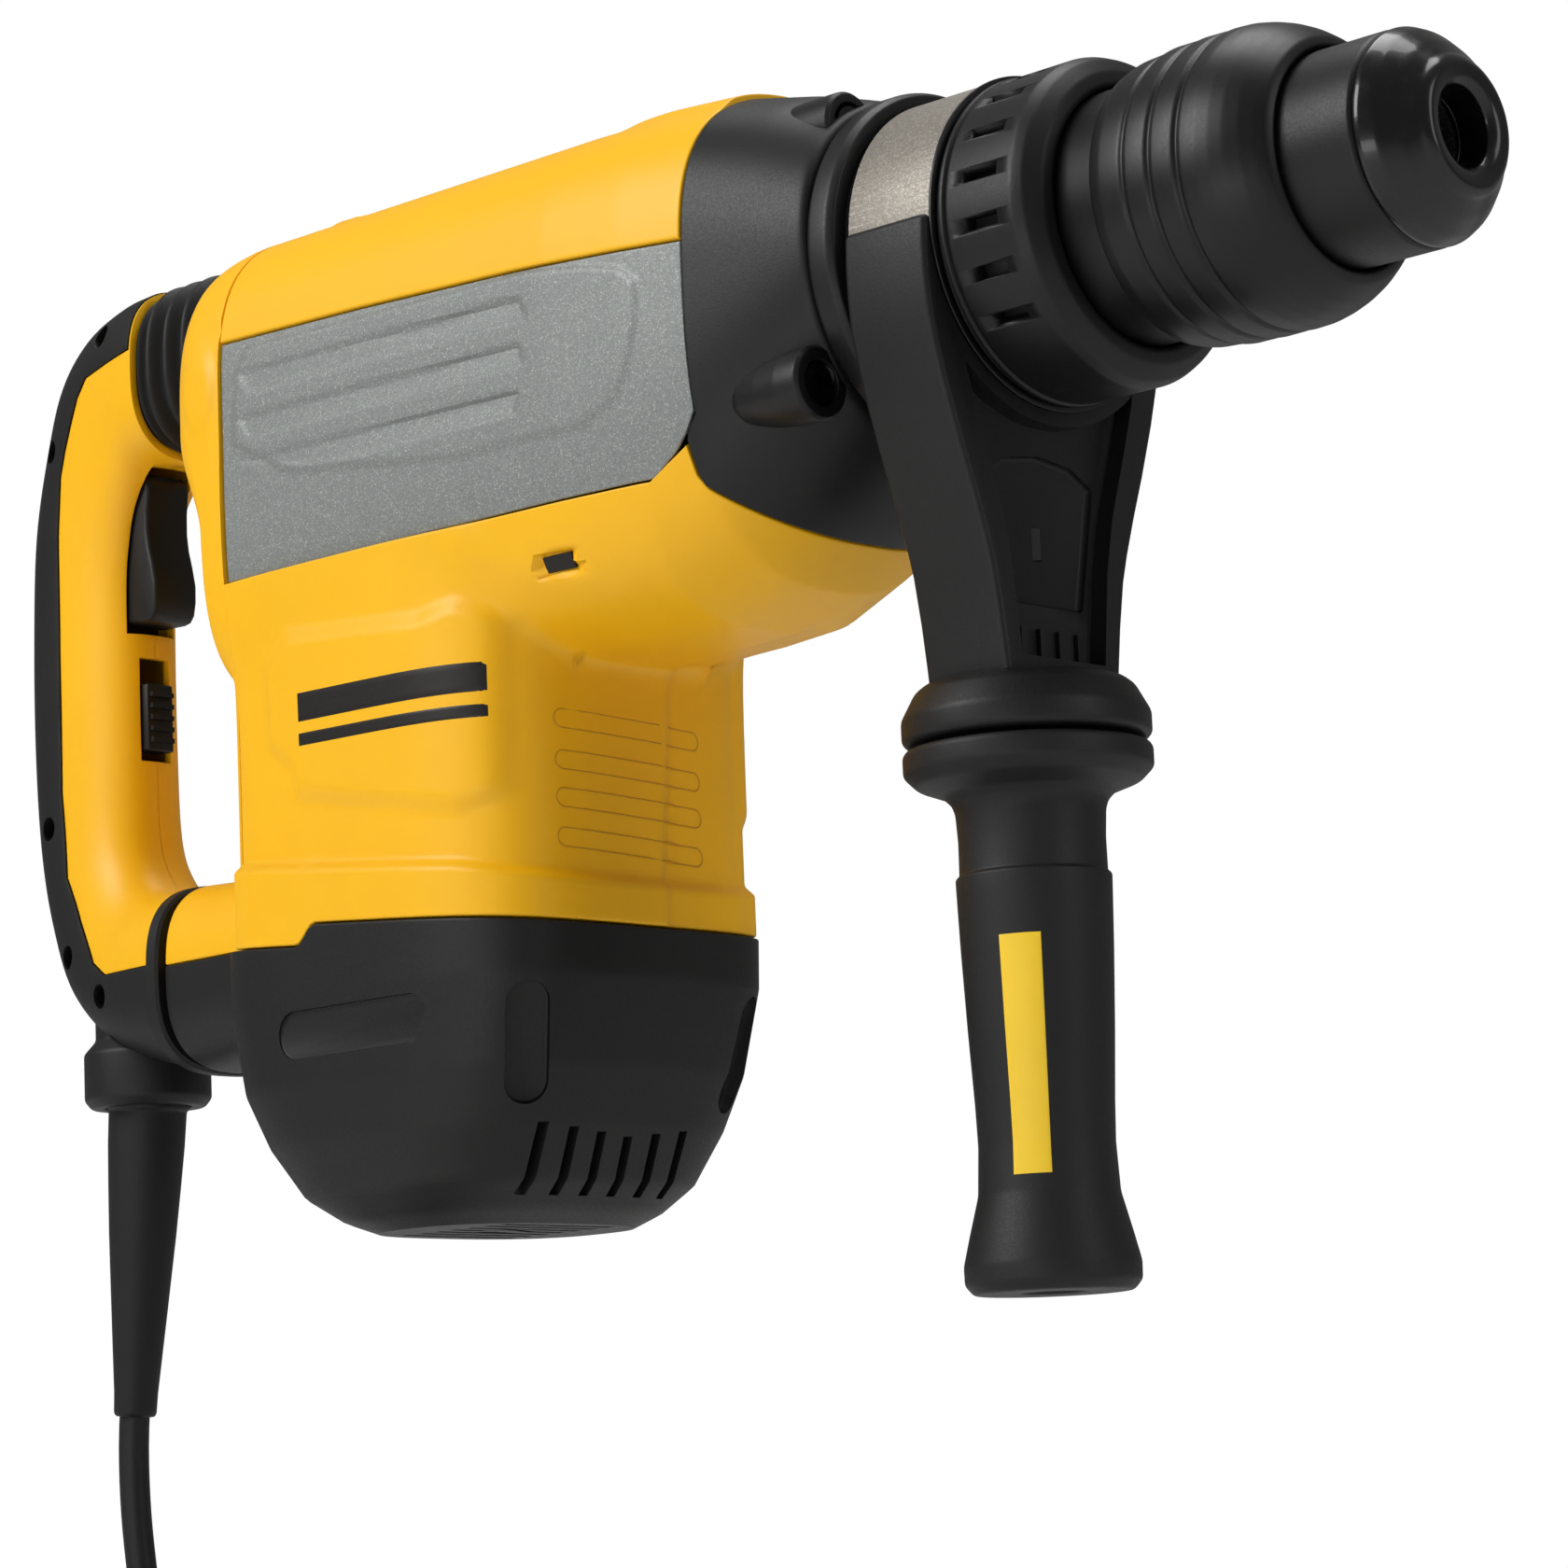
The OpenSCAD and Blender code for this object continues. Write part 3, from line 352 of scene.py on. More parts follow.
def shell(name, p, material, body, replaces=(), relief=None, thick=2.5, rounding=0.6, wrap=False, out=1):
    """A closed shell from a grid of points.

    relief(points) lifts the outside, thick is the wall's thickness, rounding is the radius of the rim,
    and out is -1 where the grid's normals point in.
    """
    n = grid_normals(p, wrap) * out
    lift = relief(p) if relief else np.zeros(p.shape[:2])
    if rounding:
        d = np.clip(rim_distance(p, wrap) / rounding, 0, 1)
        lift = lift - rounding * (1 - np.sqrt(np.maximum(0, 1 - (1 - d) ** 2)))
    outer = p + n * lift[..., None]
    inner = p - n * thick
    rows, columns = p.shape[:2]
    size = rows * columns
    faces = grid_faces(rows, columns, wrap) + grid_faces(rows, columns, wrap, size, True)
    ring = []
    last = columns if wrap else columns - 1
    for j in range(last):
        k = (j + 1) % columns
        ring.append((j, j + size, k + size, k))
        e = (rows - 1) * columns
        ring.append((e + k, e + k + size, e + j + size, e + j))
    if not wrap:
        for i in range(rows - 1):
            a, b = i * columns, (i + 1) * columns
            ring.append((b, b + size, a + size, a))
            a, b = a + columns - 1, b + columns - 1
            ring.append((a, a + size, b + size, b))
    faces += ring
    return piece(name, np.concatenate([outer.reshape(-1, 3), inner.reshape(-1, 3)]), faces, material, body,
                 replaces)


RIM = (0.12, 0.3, 0.6, 1.0)        # grid lines this far from an edge, for its rounding


def lines(start, end, step):
    """Places of grid lines from start to end, closer together near both ends."""
    way = 1 if end > start else -1
    count = max(2, int(abs(end - start) / step))
    middle = np.linspace(start, end, count + 1)
    ends = [start + way * f for f in RIM] + [end - way * f for f in RIM]
    return np.unique(np.concatenate([middle, ends]))[::way]


def smooth(x):
    """0 up to 0, 1 from 1, and an easy curve between."""
    x = np.clip(x, 0, 1)
    return x * x * (3 - 2 * x)


def polygon_distance(u, v, outline):
    """Signed distance of points (u, v) from a closed outline, negative inside."""
    best = np.full(np.shape(u), 1e9)
    inside = np.zeros(np.shape(u), bool)
    count = len(outline)
    for i in range(count):
        (ax, ay), (bx, by) = outline[i], outline[(i + 1) % count]
        dx, dy = bx - ax, by - ay
        t = np.clip(((u - ax) * dx + (v - ay) * dy) / (dx * dx + dy * dy), 0, 1)
        best = np.minimum(best, np.hypot(u - ax - t * dx, v - ay - t * dy))
        with np.errstate(divide="ignore", invalid="ignore"):
            crossing = ((ay > v) != (by > v)) & (u < (bx - ax) * (v - ay) / (by - ay) + ax)
        inside ^= crossing
    return np.where(inside, -best, best)


def segment_distance(u, v, a, b):
    dx, dy = b[0] - a[0], b[1] - a[1]
    t = np.clip(((u - a[0]) * dx + (v - a[1]) * dy) / (dx * dx + dy * dy), 0, 1)
    return np.hypot(u - a[0] - t * dx, v - a[1] - t * dy)


def plateau(distance, width):
    """1 well inside an outline, falling to 0 over width at its edge."""
    return smooth(0.5 - distance / width)


def groove(distance, width):
    """1 on a line, falling to 0 at half of width from it."""
    return smooth(1 - np.abs(distance) / (width / 2))


def power_y(z, w, low, high, up, down):
    """Half width at height z of the case's section, which is squarer the higher its powers are."""
    h = np.where(z > CASE_MID, high - CASE_MID, CASE_MID - low)
    p = np.where(z > CASE_MID, up, down)
    t = np.clip(np.abs(z - CASE_MID) / np.maximum(h, 1e-6), 0, 1)
    return w * np.maximum(0, 1 - t ** p) ** (1 / p)


def bend(v, power):
    """The sine or cosine v of a circle, turned into that of a squared-off circle."""
    return np.sign(v) * np.abs(v) ** (2 / power)


def run_along(x, y):
    """Length of a line up to each of its points."""
    return np.concatenate([[0], np.cumsum(np.hypot(np.diff(x), np.diff(y)))])


def rounded_ring(count, power):
    """Evenly spaced points round a squared-off circle of radius 1, anticlockwise from +X."""
    a = np.linspace(0, 2 * np.pi, 4001)
    x, y = bend(np.cos(a), power), bend(np.sin(a), power)
    run = run_along(x, y)
    at = np.linspace(0, run[-1], count + 1)[:-1]
    return np.interp(at, run, x), np.interp(at, run, y)


def lathe(name, profile, material, body, replaces=(), at=(0, 0, AXIS_Z), axis="x", count=160, soften=0.35,
          sharp=30):
    """A turned piece from a closed profile of (radius, place along the axis), its corners softened."""
    pts = soften_corners(profile, soften)
    a = np.linspace(0, 2 * np.pi, count, endpoint=False)
    r, s = pts[:, 0][:, None], pts[:, 1][:, None]
    c, d = r * np.cos(a), r * np.sin(a)
    s = np.broadcast_to(s, c.shape)
    if axis == "x":
        p = np.stack([s + at[0], c + at[1], d + at[2]], -1)
    else:
        p = np.stack([c + at[0], d + at[1], s + at[2]], -1)
    rows = len(pts)
    faces = []
    for f in grid_faces(rows + 1, count, True):
        f = [v % (rows * count) for v in f]
        f = [v - v % count if pts[v // count, 0] < 0.01 else v for v in f]
        f = tuple(v for i, v in enumerate(f) if v != f[i - 1])
        if len(f) > 2:
            faces.append(f)
    return piece(name, p, faces, material, body, replaces, sharp)


def soften_corners(profile, radius, steps=3):
    """The closed profile with each corner cut to a small arc, except where it is a point on the axis."""
    pts = np.array(profile, float)
    out = []
    count = len(pts)
    for i in range(count):
        a, b, c = pts[i - 1], pts[i], pts[(i + 1) % count]
        la, lc = np.linalg.norm(a - b), np.linalg.norm(c - b)
        r = min(radius, la * 0.45, lc * 0.45)
        if r < 0.02 or b[0] < 0.5:
            out.append(b)
            continue
        p, q = b + (a - b) / la * r, b + (c - b) / lc * r
        for t in np.linspace(0, 1, steps + 1):
            out.append((1 - t) ** 2 * p + 2 * t * (1 - t) * b + t * t * q)
    return np.array(out)


def tube(name, path, radius, material, body, count):
    """A round bar along a path of points."""
    p = np.array(path, float)
    t = np.gradient(p, axis=0)
    t /= np.linalg.norm(t, axis=1, keepdims=True)
    u = np.cross(t[0], (0, 0, 1) if abs(t[0][2]) < 0.9 else (1, 0, 0))
    a = np.linspace(0, 2 * np.pi, count, endpoint=False)[:, None]
    rings = []
    for i in range(len(p)):
        u = u - t[i] * (u @ t[i])
        u /= np.linalg.norm(u)
        w = np.cross(t[i], u)
        rings.append(p[i] + radius * (np.cos(a) * u + np.sin(a) * w))
    return piece(name, rings, tube_faces(len(p), count), material, body, sharp=50)


def box_mesh(name, low, high, material=DARK):
    """A plain box, used as a cutter or a rib."""
    x, y, z = zip(low, high)
    pts = [(x[i], y[j], z[k]) for i in (0, 1) for j in (0, 1) for k in (0, 1)]
    faces = [(0, 1, 3, 2), (4, 6, 7, 5), (0, 4, 5, 1), (2, 3, 7, 6), (0, 2, 6, 4), (1, 5, 7, 3)]
    return piece(name, pts, faces, material, None)


def prism(name, outline, low, high, material, axis="y"):
    """A solid from an outline: of (x, z) across Y, of (y, z) along X, or of (x, y) up Z."""
    count = len(outline)
    pts = []
    for s in (low, high):
        for u, v in outline:
            pts.append({"y": (u, s, v), "x": (s, u, v), "z": (u, v, s)}[axis])
    faces = [tuple(range(count)), tuple(range(2 * count - 1, count - 1, -1))]
    faces += [(i, i + count, (i + 1) % count + count, (i + 1) % count) for i in range(count)]
    return piece(name, pts, faces, material, None, sharp=30)


def cut(o, tools, operation="DIFFERENCE", keep=False):
    """Applies one boolean per tool to o, and removes the tools unless keep is set."""
    tools = tools if isinstance(tools, (list, tuple)) else [tools]
    for t in tools:
        m = o.modifiers.new("cut", "BOOLEAN")
        m.operation = operation
        m.solver = "EXACT"
        m.object = t
        apply_modifiers(o)
        if not keep:
            bpy.data.objects.remove(t, do_unlink=True)
    return o


def apply_modifiers(o):
    """Gives o the mesh that its modifiers make, and removes them."""
    bpy.context.view_layer.update()
    evaluated = o.evaluated_get(bpy.context.evaluated_depsgraph_get())
    mesh = bpy.data.meshes.new_from_object(evaluated)
    old = o.data
    o.modifiers.clear()
    o.data = mesh
    bpy.data.meshes.remove(old)


def soften_edges(o, width, segments=2, angle=35, sharp=38):
    """Bevels the hard edges of o."""
    m = o.modifiers.new("edge", "BEVEL")
    m.width = width * MM
    m.segments = segments
    m.limit_method = "ANGLE"
    m.angle_limit = math.radians(angle)
    m.harden_normals = False
    apply_modifiers(o)
    shade(o.data, sharp)
    return o


def make_floor():
    """The pale floor that the cord lies on. It shines a little for the camera only, to look near white."""
    m, tree, shader = new_material("pale_floor", (0.9, 0.9, 0.9), 0.7)
    ramp(tree, noise(tree, 6, 3), [(0.3, grey(0.78)), (0.7, grey(0.82))], shader.inputs["Base Color"])
    seen = tree.nodes.new("ShaderNodeMath")
    seen.operation = "MULTIPLY"
    seen.inputs[1].default_value = FLOOR_GLOW
    tree.links.new(tree.nodes.new("ShaderNodeLightPath").outputs["Is Camera Ray"], seen.inputs[0])
    tree.links.new(seen.outputs[0], shader.inputs["Emission Strength"])
    shader.inputs["Emission Color"].default_value = (1, 1, 1, 1)
    ring = [(FLOOR_X + FLOOR_R * math.cos(a), FLOOR_R * math.sin(a))
            for a in np.linspace(0, 2 * np.pi, 97)[:-1]]
    floor = prism("floor", ring, FLOOR_Z - 20, FLOOR_Z - 0.3, m, axis="z")


# ---- cord, coil and plug ----

CORD_R = 4.5
COIL = (47.6, -45.0)      # middle of the coil
COIL_TOP = -328.6         # height of the centre of the top turns
COIL_ROWS = 3             # full turns in each column of the winding
COIL_PITCH = 9.1          # from one turn to the next, a little over the cord's thickness
COIL_STEPS = 24           # points in each turn
COLUMN_R = (36.35, 45.45, 54.55, 63.65)
PLUG_AT = (67.6, -100.0, -314.2)
ROUTE = ((7, 0, -222), (6, 0, -230), (5.6, 0, -240), (6.2, 0, -255), (8, 0, -268), (9.8, 0, -279),
         (11, 0, -288.6), (11.2, -1.4, -299), (11.25, -5.4, -308.6), (11.25, -11.7, -316.9),
         (11.25, -20, -323.2), (11.25, -29.6, -327.2), (11.25, -40, -328.6))


def coil_path():
    """Turns wound column by column, first down, then up, each turn a diameter from the next."""
    pts = []
    for c, r in enumerate(COLUMN_R):
        before = COLUMN_R[c - 1] if c else r
        for k in range(COIL_ROWS * COIL_STEPS):
            turned = k / COIL_STEPS
            radius = before + (r - before) * float(smooth(turned / 0.17))
            down = turned * COIL_PITCH
            z = COIL_TOP - (down if c % 2 == 0 else COIL_ROWS * COIL_PITCH - down)
            a = math.pi + 2 * math.pi * turned
            pts.append((COIL[0] + radius * math.cos(a), COIL[1] + radius * math.sin(a), z))
    return pts


def tail_path():
    """From the outer column up and over to the back of the plug."""
    r = COLUMN_R[-1]
    p0 = np.array([COIL[0] - r, COIL[1], COIL_TOP])
    a = math.radians(200)
    p1 = np.array([COIL[0] + r * math.cos(a), COIL[1] + r * math.sin(a), COIL_TOP + 0.6])
    heading = np.array([-math.sin(a), math.cos(a), 0.04])
    end = np.array([PLUG_AT[0] - 30, PLUG_AT[1], PLUG_AT[2]])
    b, c = p1 + 26 * heading, end - np.array([30, 0, 0])
    curve = [(1 - t) ** 3 * p1 + 3 * t * (1 - t) ** 2 * b + 3 * t * t * (1 - t) * c + t ** 3 * end
             for t in np.linspace(0, 1, 10)]
    return [tuple(p0), *[tuple(p) for p in curve], (end[0] + 4, end[1], end[2])]


def make_cord():
    route = list(ROUTE) + coil_path() + tail_path()
    data = bpy.data.curves.new("mains_cord", "CURVE")
    data.dimensions = "3D"
    data.bevel_depth = CORD_R * MM
    data.bevel_resolution = 5
    data.resolution_u = 3
    data.use_fill_caps = True
    line = data.splines.new("NURBS")
    line.points.add(len(route) - 1)
    for point, at in zip(line.points, route):
        point.co = (*[v * MM for v in at], 1)
    line.order_u = 4
    line.use_endpoint_u = True
    data.materials.append(CORD)
    return mount_piece(add_object("mains_cord", data), "handle", ["power_cord", "cord_coil"])


def oval_loft(name, stations, power, material, body, replaces, at, count=48, fine=3):
    """A closed form through sections (x, half width, half height), squared off, along X."""
    s = np.array(stations, float)
    places = np.linspace(0, len(s) - 1, (len(s) - 1) * fine + 1)
    x, w, h = (np.interp(places, range(len(s)), s[:, i]) for i in range(3))
    cx, cy = rounded_ring(count, power)
    p = np.stack([np.broadcast_to(x[:, None], (len(x), count)), w[:, None] * cx, h[:, None] * cy], -1) + at
    return piece(name, p, tube_faces(len(x), count), material, body, replaces, 50)


cord = make_cord()
make_floor()
PLUG = [(-30, 5.6, 5.6), (-29, 6.3, 6.3), (-23, 6.6, 6.6), (-12, 9, 7.5), (-6, 15, 8.7), (-4, 17, 9),
        (4, 17.6, 9), (5, 16.8, 8.4), (7, 16.8, 8.4), (8, 17.8, 9), (16, 18, 9), (19, 17.8, 8.8),
        (20, 17, 8.2)]
plug = oval_loft("plug_grip", PLUG, 3.4, CORD, "handle", ["plug_body"], PLUG_AT)


def make_tie():
    """The strap round the winding: a softened block with its inside cut out."""
    at = Matrix.Translation(((COIL[0] + 50) * MM, COIL[1] * MM, (COIL_TOP - 13.65) * MM))
    blocks = []
    for name, half, wide in (("tie_strap", 20, 7), ("tie_hole", 18.9, 9)):
        outline = [(-half, -wide), (half, -wide), (half, wide), (-half, wide)]
        blocks.append(prism(name, outline, -half, half, WEAVE, axis="z"))
        blocks[-1].data.transform(at)
    strap, hole = blocks
    soften_edges(strap, 2.5, 4)
    cut(strap, hole)
    return mount_piece(strap, "handle", ["coil_tie"])


tie = make_tie()


# ---- housing surfaces ----

CASE = np.array([          # x, half width, top, bottom, power above, power below
    [96, 48, 93, -28, 2.8, 5], [104, 53, 98, -34, 2.9, 5], [116, 54, 100, -38, 2.9, 5],
    [252, 54, 100, -38, 2.9, 3.4], [278, 53, 100, -37, 2.8, 3.0], [300, 51, 99, -30, 2.7, 2.7],
    [318, 48, 96, -17, 2.4, 2.4], [338, 45, 90, 0, 2.1, 2.1]])
MOTOR_X, MOTOR_A, MOTOR_W, MOTOR_P = 166.85, 62.15, 53.4, 4.2    # middle, half length, half width, power
MOTOR_TOP = -4.15            # height from which the motor's lines are cast
CAP_LOW = -184.5
CAP = np.array([           # z, rear x, front x, half width, power
    [CAP_LOW, 142, 196, 36, 2.6], [-181, 133, 203, 42, 2.8], [-174, 123, 211, 48, 3.2],
    [-160, 113.5, 219, 52.5, 3.6], [-145, 107, 225, 55, 4], [-122, 103, 231, 56.2, 4.2],
    [-96, 103, 232, 56.5, 4.2]])


def case_at(x):
    return [np.interp(x, CASE[:, 0], CASE[:, i]) for i in range(1, 6)]


def in_case(x, y, z):
    """Below 1 inside the upper case's form."""
    w, top, low, up, down = case_at(x)
    h = np.where(z > CASE_MID, top - CASE_MID, CASE_MID - low)
    p = np.where(z > CASE_MID, up, down)
    return (np.abs(y) / w) ** p + (np.abs(z - CASE_MID) / h) ** p


def in_motor(x, y, z):
    """Below 1 inside the upright motor column."""
    return (np.abs(x - MOTOR_X) / MOTOR_A) ** MOTOR_P + (np.abs(y) / MOTOR_W) ** MOTOR_P


def cast(form, start, way, far=240.0):
    """Distance along way from start to the form's surface, 0 where start is outside."""
    low = np.zeros(np.broadcast(start[0], way[0]).shape)
    high = np.full(low.shape, far)
    for _ in range(34):
        mid = (low + high) / 2
        inside = form(start[0] + way[0] * mid, start[1] + way[1] * mid, start[2] + way[2] * mid) < 1
        low, high = np.where(inside, mid, low), np.where(inside, high, mid)
    return low


def soft_max(a, b, k):
    """The larger of a and b, with a round of about k where they meet."""
    return (a + b + np.sqrt((a - b) ** 2 + k * k)) / 2


def spread(length, count, ends=RIM):
    """Places along a line, close together at both ends."""
    ends = np.array((0,) + tuple(ends))
    middle = np.linspace(ends[-1], length - ends[-1], count - 2 * len(ends) + 2)[1:-1]
    return np.concatenate([ends, middle, (length - ends)[::-1]])


def trace(line, first, last, count):
    """The part of a line between fractional indices, as count points."""
    def at(i):
        a = int(min(max(math.floor(i), 0), len(line) - 2))
        return line[a] + (line[a + 1] - line[a]) * (i - a)
    a, b = int(math.ceil(first + 1e-6)), int(math.floor(last - 1e-6))
    part = np.vstack([at(first), line[a:b + 1], at(last)])
    run = np.concatenate([[0], np.cumsum(np.linalg.norm(np.diff(part, axis=0), axis=1))])
    where = spread(run[-1], count)
    return np.stack([np.interp(where, run, part[:, i]) for i in range(3)], -1)


def crossing(value, start=0):
    """Fractional index at which value first turns positive."""
    above = np.nonzero(value[start:] > 0)[0]
    if not len(above):
        return len(value) - 1.0
    i = start + above[0]
    return float(i) if i == 0 else i - value[i] / (value[i] - value[i - 1])


def cap_joint(x):
    """Height of the joint between the motor housing and the black cap."""
    return -104 - 0.085 * (x - 104) + 6 * smooth((x - 150) / 8)


def panel_top(x):
    return np.interp(x, [121, 180, 240, 300], [64, 62, 59, 55])


def gear_seam(z):
    return np.interp(z, [-33.5, -27.5, -7, 5, 10], [345, 322, 297, 296, 300])


# -- side panels --

PANEL_FIELD = [(126.3, 34.7), (128.2, 54.3), (131.8, 59.7), (136, 60.5), (245.6, 57.5), (264.8, 55),
               (279.2, 51.6), (284.7, 47), (283.8, 35.4), (279.9, 23.9), (273, 17.1), (262.7, 13.5),
               (216.2, 14), (188.2, 17.6), (149.6, 22.6)]
STRIPS = [[(129.9, 54), (243, 51.2), (245.7, 45.6), (133.8, 47.1)],
          [(129.4, 41.3), (242.4, 39), (244.4, 33.7), (133.4, 34.5)],
          [(128.9, 29.2), (241.8, 26.7), (240.1, 21.3), (161, 22.1)]]


def panel_relief(p):
    x, z = p[..., 0], p[..., 2]
    lift = 0.8 * plateau(polygon_distance(x, z, PANEL_FIELD), 1.8)
    for strip in STRIPS:
        d = polygon_distance(x, z, strip)
        depth = 0.5 + 0.9 * smooth((x - 128) / 110)
        top = np.interp(x, [strip[0][0], strip[1][0]], [strip[0][1], strip[1][1]])
        low = np.interp(x, [strip[3][0], strip[2][0]], [strip[3][1], strip[2][1]])
        lean = np.clip((z - low) / (top - low), 0, 1)
        lift = lift - depth * plateau(d, 1.3) * (0.4 + 0.6 * lean)
    crease = segment_distance(x, z, (216, 4), (226, -8))
    return lift - 0.5 * groove(crease, 11) * smooth((6 - z) / 8) - 0.75


def panel(side, tag):
    xs = lines(CASE_REAR + GAP, 299.85 - GAP, 1.15)
    rows = []
    for x in xs:
        low = np.interp(x, [121, 284, 292, 296.5, 300], [-4, -4, 1.6, 6.2, 11.5]) + GAP
        top = panel_top(x) - GAP
        z = low + spread(top - low, 84)
        w, high, bottom, up, down = case_at(x)
        rows.append(section(x, side * power_y(z, w, bottom, high, up, down), z))
    shell("panel_" + tag, np.array(rows), GREY_PAINT, "housing", ["side_panel_" + tag], panel_relief,
          1.6, 0.45, out=-side)


# -- top cover --

def top_relief(p):
    x, y = p[..., 0], p[..., 1]
    lift = np.zeros(x.shape)
    for side in (-1, 1):
        d = np.hypot(np.maximum(0, 276 - x) * 0.6, y - side * 18) - 13
        lift = lift + 1.4 * smooth(0.5 - d / 7)
        for a, b, c in ((161, 175, 27), (235, 250, 24)):
            d = np.maximum(np.abs(x - (a + b) / 2) - (b - a) / 2, np.abs(y - side * c) - 4)
            lift = lift - 3.2 * plateau(d, 1.4)
        lift = lift + 1.1 * plateau(np.hypot((x - 144) / 8, (y - side * 22) / 5) - 1, 0.35)
    crown = 0.8 * plateau(polygon_distance(
        x, np.abs(y), [(126, -1), (296, -1), (296, 12), (150, 16), (126, 14)]), 3)
    return lift + crown


def top_cover():
    rows = []
    for x in lines(CASE_REAR + GAP, 300 - GAP, 1.7):
        w, top, _, up, _ = case_at(x)
        rise = top - CASE_MID
        a0 = math.asin(min(1, ((panel_top(x) + GAP - CASE_MID) / rise) ** (up / 2)))
        a = np.linspace(math.pi - a0, a0, 900)
        line = section(x, w * bend(np.cos(a), up), CASE_MID + rise * bend(np.sin(a), up))
        rows.append(trace(line, 0, 899, 104))
    shell("top_shell", np.array(rows), YELLOW, "housing", ["top_cover"], top_relief, 2.6, 0.6)


# -- rear cover --

def rear_relief(p):
    x, y, z = p[..., 0], p[..., 1], p[..., 2]
    lift = -0.7 * groove(z - 74 + 0.12 * np.abs(y), 1.4) * (np.abs(y) > 20)
    lift = lift + 1.0 * plateau(np.hypot(x - 112, (z - 52) / 1.6) - 7, 3) * (np.abs(y) > 30)
    return lift


REAR_X, MOTOR_REAR = 96, 104.7       # back walls of the upper case and of the motor
REAR_Z = -5                          # the cover's lines start at this height,
REAR_DROP, REAR_RISE = 98.6, 30      # and reach this far down, and in the motor's column up


def rear_cover():
    """The rear cover, from lines that run out from its back wall and forward to its joint."""
    rows = []
    depth = 16.3 * np.linspace(0, 1, 160)[1:] ** 2
    xs = np.concatenate([np.linspace(REAR_X, MOTOR_REAR, 60), MOTOR_REAR + depth])
    for phi in np.linspace(0, 2 * np.pi, 240, endpoint=False):
        way = (np.zeros(len(xs)), np.full(len(xs), -math.cos(phi)), np.full(len(xs), math.sin(phi)))
        begin = (xs, 0 * xs, 0 * xs + REAR_Z)
        upper = cast(in_case, begin, way)
        motor = np.where(xs > MOTOR_REAR, cast(in_motor, begin, way, 140), 0)
        if math.sin(phi) < -1e-6:
            motor = np.minimum(motor, REAR_DROP / -math.sin(phi))
            upper = np.minimum(upper, REAR_DROP / -math.sin(phi))
        if math.sin(phi) > 1e-6:
            motor = np.minimum(motor, REAR_RISE / math.sin(phi))
        r = np.where(motor > 0, soft_max(upper, motor, 2.5), upper)
        line = np.stack([xs, r * way[1], r * way[2] + REAR_Z], -1)
        out = np.linspace(0.01, r[0], 60)
        wall = section(REAR_X, out * way[1][0], out * way[2][0] + REAR_Z)[:-1]
        line = np.vstack([wall, line])
        ends = crossing(line[:, 0] - CASE_REAR + GAP)
        run = trace(line, 0, ends, 90)
        blur = run.copy()
        for _ in range(10):
            blur[1:-1] = (blur[:-2] + 2 * blur[1:-1] + blur[2:]) / 4
        rows.append(blur)
    p = np.array(rows).transpose(1, 0, 2)
    x = p[..., 0]
    p[..., 0] = x + 8 * smooth((42 - p[..., 2]) / 30) * (1 - smooth((x - REAR_X) / 24.5))
    o = shell("rear_shell", p, YELLOW, None, None, rear_relief, 2.6, 0.0, wrap=True)
    tools = [box_mesh("slot", (92, -26, z - 1.5), (112, 26, z + 1.5)) for z in range(-68, -39, 7)]
    bore = [(0, 90), (5.2, 90), (5.2, 112), (0, 112)]
    tools.append(lathe("damper_bore", bore, DARK, None, at=(0, 0, DAMPER_Z), count=40, soften=0))
    return cut(o, tools)


# -- motor housing --

PLATE = [(147.1, -19.8), (135.5, -29.4), (136, -53.4), (145.6, -60.3), (148, -69.7), (210.5, -81.3),
         (226.7, -77.4), (229.1, -27.4), (211.9, -20.8), (200, -23.4)]


def motor_relief(p):
    x, y, z = p[..., 0], p[..., 1], p[..., 2]
    side = smooth((np.abs(y) - 40) / 8)
    edge = np.interp(x, [120, 210, 229], [-81, -91, -95])
    lift = 2.7 * smooth((edge - z) / 3.5)
    inset = polygon_distance(x, z, PLATE)
    lift = lift + 1.9 * plateau(inset + 3.2, 6.4) * side * (z > edge)
    d = np.maximum(np.abs(x - 246) - 6.4, np.abs(z + 19) - 2.9)
    lift = lift - 2.2 * plateau(d, 1.0) * (np.abs(y) > 26)
    facet = (y - 4) - (z + 96) * 0.088
    lift = lift - (1.3 * smooth(facet / 3) * smooth((-33 - z) / 4)
                   * smooth((x - 214) / 8) * smooth((44 - y) / 6))
    ridge = segment_distance(x, z, (216, -8), (252, -30))
    return lift + 0.7 * groove(ridge, 16) * side * (z > -34)


def motor_line(start, way):
    """The outside of the motor and the belly in one upright plane."""
    r = soft_max(cast(in_motor, start, way), cast(in_case, start, way), 5)
    return np.stack([start[i] + r * way[i] for i in range(3)], -1)


def motor_profile(start, way, count=130):
    """One line of the motor housing, from the cap's joint up to the panel or the gear case."""
    line = motor_line(start, way)
    first = crossing(line[:, 2] - cap_joint(line[:, 0]) - GAP)
    low = np.interp(line[:, 0], [284, 292, 296.5, 299.85], [-4, 1.6, 6.2, 11.5])
    last = crossing(np.maximum(line[:, 2] - low, line[:, 0] - gear_seam(line[:, 2])) + GAP, int(first) + 1)
    return trace(line, first, last, count)


